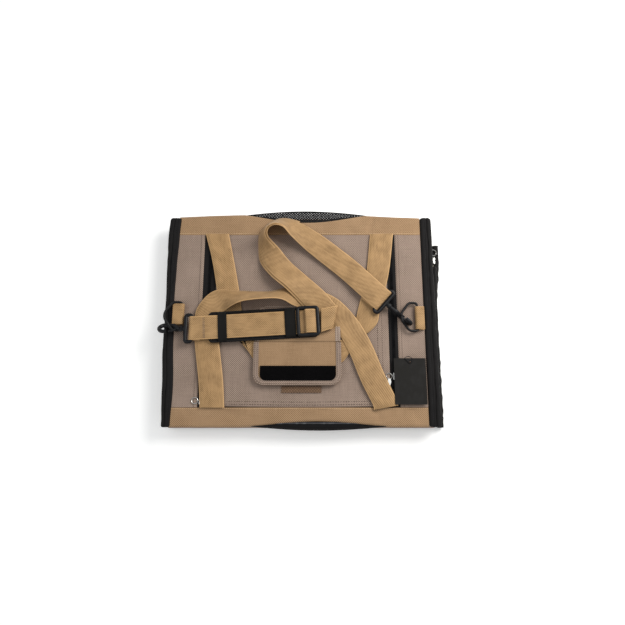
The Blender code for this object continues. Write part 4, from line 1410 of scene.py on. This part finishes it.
def bent(made, first, second, start, stop, slot, *replaced):
    """A piece that lies across one joint: its placement is baked into its mesh and the parts it replaces are hidden;
    nothing makes it bend.
    """
    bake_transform(made)
    if replaced:
        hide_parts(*replaced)


def make_pad():
    """The shoulder pad: a thin stuffed form with a bound edge, and its two keepers."""
    turn = Matrix.Translation((PAD_START[0] * MM, PAD_START[1] * MM, 0)) @ Matrix.Rotation(
        math.radians(STRAP_TURN), 4, "Z")
    outline = rounded_ring((3.5, -PAD_WIDTH / 2 + 3.0), (PAD_LENGTH - 3.5, PAD_WIDTH / 2 - 3.0), 4.0)
    rings = [[(x, y, z) for x, y in outline] for z in (41.5, 42.3, 43.0)]
    made = loft("shoulder_pad_form", rings, PADDING)
    inflate(made, 1.5, 2.5, 0.9)
    made.data.transform(turn)
    place_on(made, "pad", "black_padding", "shoulder_pad")
    path = rounded_ring((1.6, -PAD_WIDTH / 2 + 1.6), (PAD_LENGTH - 1.6, PAD_WIDTH / 2 - 1.6), 5.0)
    made = tube("shoulder_pad_binding", [(x, y, 42.6) for x, y in path], 2.1, BLACK_TAPE, closed=True,
                sides=8, flat=0.72)
    made.data.transform(turn)
    place_on(made, "pad", "black_fabric")
    inner = rounded_ring((4.4, -PAD_WIDTH / 2 + 4.4), (PAD_LENGTH - 4.4, PAD_WIDTH / 2 - 4.4), 4.0)
    line = [(x, y, 43.75) for x, y in inner + inner[:1]]
    made = seam("shoulder_pad_seam", [line], THREAD_BLACK, 3.0, 2.0, 0.7, 0.5)
    made.data.transform(turn)
    place_on(made, "pad", "black_fabric")
    half = PAD_WIDTH / 2 - 1.0
    for label, start, stop in (("left", 15, 29), ("right", 120, 137)):
        across = ((-half - 0.6, 42.2), (-half - 0.4, 43.6), (-half + 1.2, 45.4), (-half + 5, 46.5),
                  (0, 46.9), (half - 5, 46.5), (half - 1.2, 45.4), (half + 0.4, 43.6), (half + 0.6, 42.2))
        stations = [((start + stop) / 2, y, z, 0, 0) for y, z in across]
        made = strap(label + "_pad_keeper_elastic", stations, WEB_DARK, stop - start, 0.9, 1.6)
        made.data.transform(turn)
        place_on(made, "pad", "black_padding", label + "_pad_keeper")


def make_slider():
    """The strap's adjuster: a moulded frame with its bar, which the webbing goes round."""
    level, bar, bend_reach = 48.6, 155, 2.7
    corners = [(*along_pad(u, side), level) for u, side in ((141, 22), (172, 22), (172, -22), (141, -22))]
    made = tube("slider_outer_frame", round_outline(corners, 4.0), 2.9, PLASTIC, closed=True, sides=12,
                flat=0.9)
    place_on(made, "top", "black_plastic", "strap_slider")
    ends = [Vector((*along_pad(bar, side), level)) for side in (19.8, -19.8)]
    made = tube("slider_cross_bar", between(ends[0], ends[1], 4.0) + [ends[1]], 1.8, PLASTIC, sides=12)
    place_on(made, "top", "black_plastic", "strap_slider_bar")
    stations = []
    for u, z in ((166, 46.9), (161, 46.4), (157.5, 45.9)):
        stations.append((*along_pad(u), z, 90 + STRAP_TURN, 0))
    for step in range(1, 8):
        bend = math.radians(-90 - 180 * step / 8)
        stations.append((*along_pad(bar + bend_reach * math.cos(bend)), level + bend_reach * math.sin(bend),
                         90 + STRAP_TURN, 0))
    for u, z in ((158, 51.3), (164, 50.9), (168.6, level)):
        stations.append((*along_pad(u), z, 90 + STRAP_TURN, 0))
    made = strap("slider_webbing_turn", stations, WEB, WEBBING, 1.2, 1.0)
    place_on(made, "top", "tan_webbing")


# ---------------------------------------------------------------- hang tag
def make_tag():
    """A plain black card on a short cord loop."""
    left, right, front, rear, z0, z1 = sides("hang_tag_card")
    hole = ((left + right) / 2 + 0.3, rear - 6.5)
    outer = rounded_ring((left, front), (right, rear), 1.5)
    rings = []
    for x, y in outer:
        away = Vector((x - hole[0], y - hole[1], 0)).normalized()
        near = (hole[0] + away.x * 2.2, hole[1] + away.y * 2.2)
        rings.append([(x, y, z0), (x, y, z1), (near[0], near[1], z1), (near[0], near[1], z0)])
    made = loft("hang_tag_sheet", rings, CARD, closed=True, sharp=30)
    place_on(made, "tag", "tag_card", "hang_tag_card")
    rim = [(hole[0] + 2.6 * math.cos(math.tau * k / 20), hole[1] + 2.6 * math.sin(math.tau * k / 20), z1 + 0.1)
           for k in range(20)]
    place_on(tube("hang_tag_eyelet", rim, 0.5, PAINTED, closed=True, sides=6), "tag", "tag_card")
    x, y = hole
    loop = [(x + 0.6, y - 0.5, z1 - 0.6), (x + 1.0, y - 1.2, z1 + 0.9), (x + 3.2, y + 2.0, z1 + 1.1),
            (x + 3.4, y + 6.0, z1 + 0.5), (x - 1.0, y + 9.0, z1 - 0.2), (x - 5.4, y + 8.6, z1 - 0.4),
            (x - 8.0, y + 6.6, z1 + 0.8), (x - 4.6, y + 3.0, z1 + 1.0), (x - 1.4, y - 0.6, z1 + 1.0),
            (x - 0.8, y - 0.8, z1 - 0.6)]
    made = tube("hang_tag_loop", smooth_path(loop, 1.0), 0.55, THREAD_BLACK, sides=7)
    place_on(made, "tag", "black_fabric")


# ---------------------------------------------------------------- walls, ends and base
def bind_round(name, low, high, corner, level, radius, flat, owner):
    """Binding tape round a closed, round-cornered edge of a panel."""
    outline = [(x, y, level) for x, y in rounded_ring(low, high, corner)]
    made = tube(name, outline, radius, BLACK_TAPE, closed=True, sides=8, flat=flat)
    place_on(made, owner, "black_fabric")


def make_wall(label, side):
    """Two halves of a long wall, each a cloth panel with half of the mesh window."""
    window_x, corner = 112, 12
    for part, outer_rim, upper_look, under_look in (("lower", 26.0, TAUPE, BLACK), ("upper", 12.0, BLACK, TAUPE)):
        owner = f"{label}_wall_{part}"
        x0, x1, y0, y1 = sides(owner + "_panel")[:4]
        low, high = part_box(owner + "_panel")
        middle = (low.z + high.z) / 2 / MM
        near, far = sorted((side * 26.0, side * (168.0 - outer_rim)))
        opening = ((-window_x, near), (window_x, far), corner)
        made = windowed(owner + "_cloth", (x0, y0), (x1, y1), 2.0, *opening, middle, 1.5,
                        [upper_look, under_look], 0.9)
        place_on(made, owner, "taupe_fabric", owner + "_panel")
        bind_round(owner + "_window_binding", *opening, middle, 3.0, 0.45, owner)
        made = net(owner + "_net", (-111, near + 1), (111, far - 1), lambda x, y, z=middle: z - 0.2, NET,
                   3.2, 0.8, 0.35, in_rounded(*opening))
        place_on(made, owner, "black_mesh", owner + "_mesh")
        for end, x in (("left", x0 + 2.0), ("right", x1 - 2.0)):
            path = [(x, y0 + 1 + (y1 - y0 - 2) * step / 24, middle + 0.2 * ripple(x, step * 6, 20))
                    for step in range(25)]
            made = tube(f"{owner}_{end}_edge", path, 3.2, BLACK_TAPE, sides=8, flat=0.5)
            place_on(made, owner, "black_fabric")


def hinge_tape(name, profile, first, second, start, stop, look, slot, half=205.0):
    """A cloth strip round a fold line, lying between the bodies on both sides of it."""
    columns = stops(-half, half, 12.0)
    rows = list(range(len(profile)))

    def surface(x, row):
        y, z = profile[row]
        return (x, y, z)

    made = cloth(name, columns, rows, surface, 0.7, [look])
    metric_uv(made)
    bent(made, first, second, (0, *start), (0, *stop), slot)


def make_fold_tapes():
    for label, side in (("rear", 1), ("front", -1)):
        def line(points):
            return [(side * y, z) for y, z in points]

        lower = line([(170.6, 15.0), (170.8, 17.5), (170.7, 19.5), (169.6, 21.6), (167.4, 22.8),
                      (164.0, 23.0)])
        hinge_tape(f"{label}_base_tape", lower, "base", f"{label}_wall_lower",
                   (side * 170.6, 16.5), (side * 166.0, 22.8), TAUPE, "taupe_fabric")
        turn = [math.radians(90 - 180 * step / 8) for step in range(9)]
        bend = [(18.2 - 4.2 * math.cos(angle), 23.75 + 4.35 * math.sin(angle)) for angle in turn]
        middle = [(24.0, 28.1)] + bend + [(24.0, 19.4)]
        hinge_tape(f"{label}_fold_tape", line(middle), f"{label}_wall_upper", f"{label}_wall_lower",
                   (side * 17.0, 26.8), (side * 17.0, 20.7), BLACK_TAPE, "black_fabric")
    upper = [(164.0, 24.4), (167.0, 24.5), (169.4, 25.2), (170.9, 26.6), (171.2, 28.2), (170.8, 29.6)]
    hinge_tape("rear_top_tape", upper, "rear_wall_upper", "top", (167.0, 24.6), (171.0, 29.0), TAN, "tan_fabric")


def make_end_tapes():
    """Cloth that joins each end door to the base along its hinge line."""
    profiles = {
        "left": ((-207.5, 6.7), (-210.5, 6.5), (-213.0, 6.0), (-214.6, 5.2)),
        "right": ((207.5, 6.7), (211.0, 6.4), (214.6, 6.8), (217.6, 7.9), (220.2, 8.6)),
    }
    for label, profile in profiles.items():
        def surface(row, y, profile=profile):
            x, z = profile[row]
            return (x, y, z + 0.25 * ripple(x, y, 14, 2.0))

        rows = stops(-150.0, 126.0, 6.0)
        made = cloth(label + "_end_hinge_tape", list(range(len(profile))), rows, surface, 0.7,
                     [BLACK_TAPE])
        metric_uv(made)
        bent(made, "base", label + "_end", (profile[0][0], 0, 6.5), (profile[-1][0], 0, 6.5),
             "black_fabric")


def make_end(label, z0, z1):
    """An end door folded under the base: bound cloth round a mesh window."""
    x0, x1, y0, y1 = sides(label + "_end_frame")[:4]
    owner = label + "_end"
    middle = (z0 + z1) / 2
    window = [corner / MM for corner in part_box(owner + "_mesh")]
    near, far = (window[0].x - 0.3, window[0].y - 0.3), (window[1].x + 0.3, window[1].y + 0.3)
    made = windowed(owner + "_cloth", (x0, y0), (x1, y1), 20, near, far, 30, middle, 1.5, [BLACK], 0.5)
    place_on(made, owner, "black_fabric", owner + "_frame")
    bind_round(owner + "_binding", (x0 + 2.2, y0 + 2.2), (x1 - 2.2, y1 - 2.2), 18, middle, 2.4, 0.6, owner)
    bind_round(owner + "_window_binding", near, far, 30, middle, 3.2, 0.44, owner)
    made = net(owner + "_net", near, far, lambda x, y: middle - 0.2, NET, 3.6, 0.8, 0.35,
               in_rounded(near, far, 30))
    place_on(made, owner, "black_mesh", owner + "_mesh")
    lines = []
    for inset in (7.0, 24.5):
        ring = rounded_ring((x0 + inset, y0 + inset), (x1 - inset, y1 - inset), 16)
        lines.append([(x, y, z0 + 0.55) for x, y in ring + ring[:1]])
    stitched(owner + "_seams", lines, THREAD_BLACK, (4.0, 2.8, 0.8, 0.5), owner, "black_fabric")


def rope_shift(y):
    """How far the roped edge stands out past its straight line at y."""
    return -1.6 + 6.6 * eased(clamped((y - 20.0) / 95.0))


def make_right_door_edge():
    """The roped, wrinkled hinge edge of the right end door, with its slider, pull and pale tab."""
    low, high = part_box("right_end_rope")
    x, z = (low.x + high.x) / 2 / MM, (low.z + high.z) / 2 / MM
    path = []
    for y in stops(low.y / MM, high.y / MM + 5.0, 3.0):
        path.append((x + rope_shift(y) + 1.1 * ripple(0, y, 22, 4.0), y, z + 0.6))
    made = tube("right_end_roped_edge", path, 5.4, BLACK_TAPE, sides=16, flat=0.8,
                radius_at=lambda share: 0.94 + 0.22 * ripple(share * 300, 0, 9, 2.0))
    place_on(made, "right_end", "black_fabric", "right_end_rope")
    path = []
    for y in stops(low.y / MM + 1.0, 92.0, 3.0):
        path.append((x + rope_shift(y) * 0.5 - 2.2 + 1.0 * ripple(0, y, 26, 11.0), y,
                     z + 10.4 + 1.5 * ripple(3, y, 19, 7.0)))
    made = tube("right_end_gathered_flange", path, 3.8, BLACK_TAPE, sides=16, flat=1.3,
                radius_at=lambda share: 0.92 + 0.30 * ripple(share * 300, 4, 8, 6.0))
    place_on(made, "right_end", "black_fabric")
    x0, x1, y0, y1, z0, z1 = sides("right_end_zip_slider")
    slider_body("right_end_slider_shell", (x0, y0), (x1, y1), z0, z1, "right_end", "right_end_zip_slider")
    pull_ring("right_end_pull_loop", "right_end_pull_ring", "right_end_pull")
    stations = [(x - 2.5, 98, 8.7, 0, 0), (x - 3.2, 92, 9.6, 6, 6), (x - 4.0, 84, 9.2, 4, 4),
                (x - 4.2, 76, 8.6, 0, 0)]
    place_on(strap("right_end_pale_tab", stations, PALE_TAB, 4.4, 0.8, 2.0), "right_end", "tan_fabric")


def make_base():
    """Base cover, its piped long edges and side bands, and the plush mat."""
    low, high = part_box("base_cover")
    made = cloth("base_cover_cloth", stops(low.x / MM, high.x / MM, 12.0), stops(low.y / MM, high.y / MM, 12.0),
                 lambda x, y: (x, y, high.z / MM - 0.3 + 0.2 * ripple(x, y, 50, 6.0)), 1.1, [BLACK])
    place_on(made, "base", "black_fabric", "base_cover")
    for label, side in (("front", -1), ("rear", 1)):
        low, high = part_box(label + "_base_piping")
        y, z = (low.y + high.y) / 2 / MM, (low.z + high.z) / 2 / MM
        path = [(x, y + 0.4 * ripple(x, 0, 30, side), z) for x in stops(low.x / MM, high.x / MM, 5.0)]
        made = tube(label + "_base_roped_edge", path, 4.7, BLACK_TAPE, sides=14,
                    radius_at=lambda share: 0.96 + 0.06 * ripple(share * 400, 0, 11, 3.0))
        place_on(made, "base", "black_fabric", label + "_base_piping")
    half_x, half_y = 211.0, 170.4
    outline = rounded_ring((-half_x, -half_y), (half_x, half_y), 7.0, 4, 40)
    levels = ((0.0, 7.4), (0.5, 7.6), (0.9, 10.0), (0.6, 14.0), (0.2, 17.6), (-0.6, 18.2), (-0.9, 14.0),
              (-0.6, 8.0))
    rings = []
    for x, y in outline:
        if abs(x) / half_x > abs(y) / half_y:
            away = Vector((math.copysign(1.0, x), 0, 0))
        else:
            away = Vector((0, math.copysign(1.0, y), 0))
        rings.append([Vector((x, y, z)) + away * (out + 0.25 * ripple(x, y, 18, z)) for out, z in levels])
    place_on(loft("base_side_band", rings, [TAUPE], closed=True, sharp=60), "base", "taupe_fabric")
    make_mat()


def make_mat():
    low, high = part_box("plush_mat")
    x, y, base = high.x / MM - 3.0, high.y / MM - 3.0, low.z / MM
    outline = rounded_ring((-x, -y), (x, y), 24, 6, 24)
    rings = [[(px, py, z) for px, py in outline] for z in (base + 0.6, base + 3.0, base + 4.6)]
    made = loft("plush_mat_form", rings, PLUSH)
    inflate(made, 4.0, 3.0, 2.2)
    for vertex in made.data.vertices:
        place = vertex.co / MM
        tuft = 0.7 * abs(math.sin(math.pi * place.x / 52)) ** 0.5 * abs(math.sin(math.pi * place.y / 52)) ** 0.5
        lift = (tuft - 0.5) if place.z > base + 3.0 else 0.0
        vertex.co.z = min(max(place.z + lift, base + 0.1), high.z / MM + 0.2) * MM
    place_on(made, "base", "plush", "plush_mat")


def dress_cad_nodes():
    """Finishes for the CAD pieces that show as they are."""
    for name, look in (("base_board", BOARD), ("top_frame_wire", SPRING)):
        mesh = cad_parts[name].data
        mesh.materials.clear()
        mesh.materials.append(look)


set_camera()
set_studio()
for side_label, side_sign in (("rear", 1), ("front", -1)):
    make_strip(side_label, side_sign)
    make_wall(side_label, side_sign)
make_borders()
make_door()
make_zips()
make_binding("left", LEFT_IN, -HALF, 35.9, LEFT_BOW)
make_binding("right", RIGHT_IN, HALF, 36.2, STRAIGHT)
make_label()
make_bulges()
make_handles()
make_wrap()
make_ring("left", LEFT_BAR, 15.0)
make_ring("right", RIGHT_BAR, 8.6)
ring_tab("left", LEFT_BAR, LEFT_IN - 4.2, 3.5)
ring_tab("right", RIGHT_BAR, RIGHT_IN - 0.8, -1.6, 37.0)
make_hook("left", LEFT_HOOK, 0.0, 50.0, 8.0, LEFT_FRAME, "left_hook")
make_hook("right", RIGHT_HOOK, RIGHT_HOOK_HEADING, 0.0, 6.3, RIGHT_FRAME, "right_ring")
make_zip_pulls()
make_strap()
make_pad()
make_slider()
make_tag()
make_fold_tapes()
make_end("left", 3.4, 6.4)
make_end("right", 0.0, 3.0)
make_right_door_edge()
make_end_tapes()
make_base()
dress_cad_nodes()
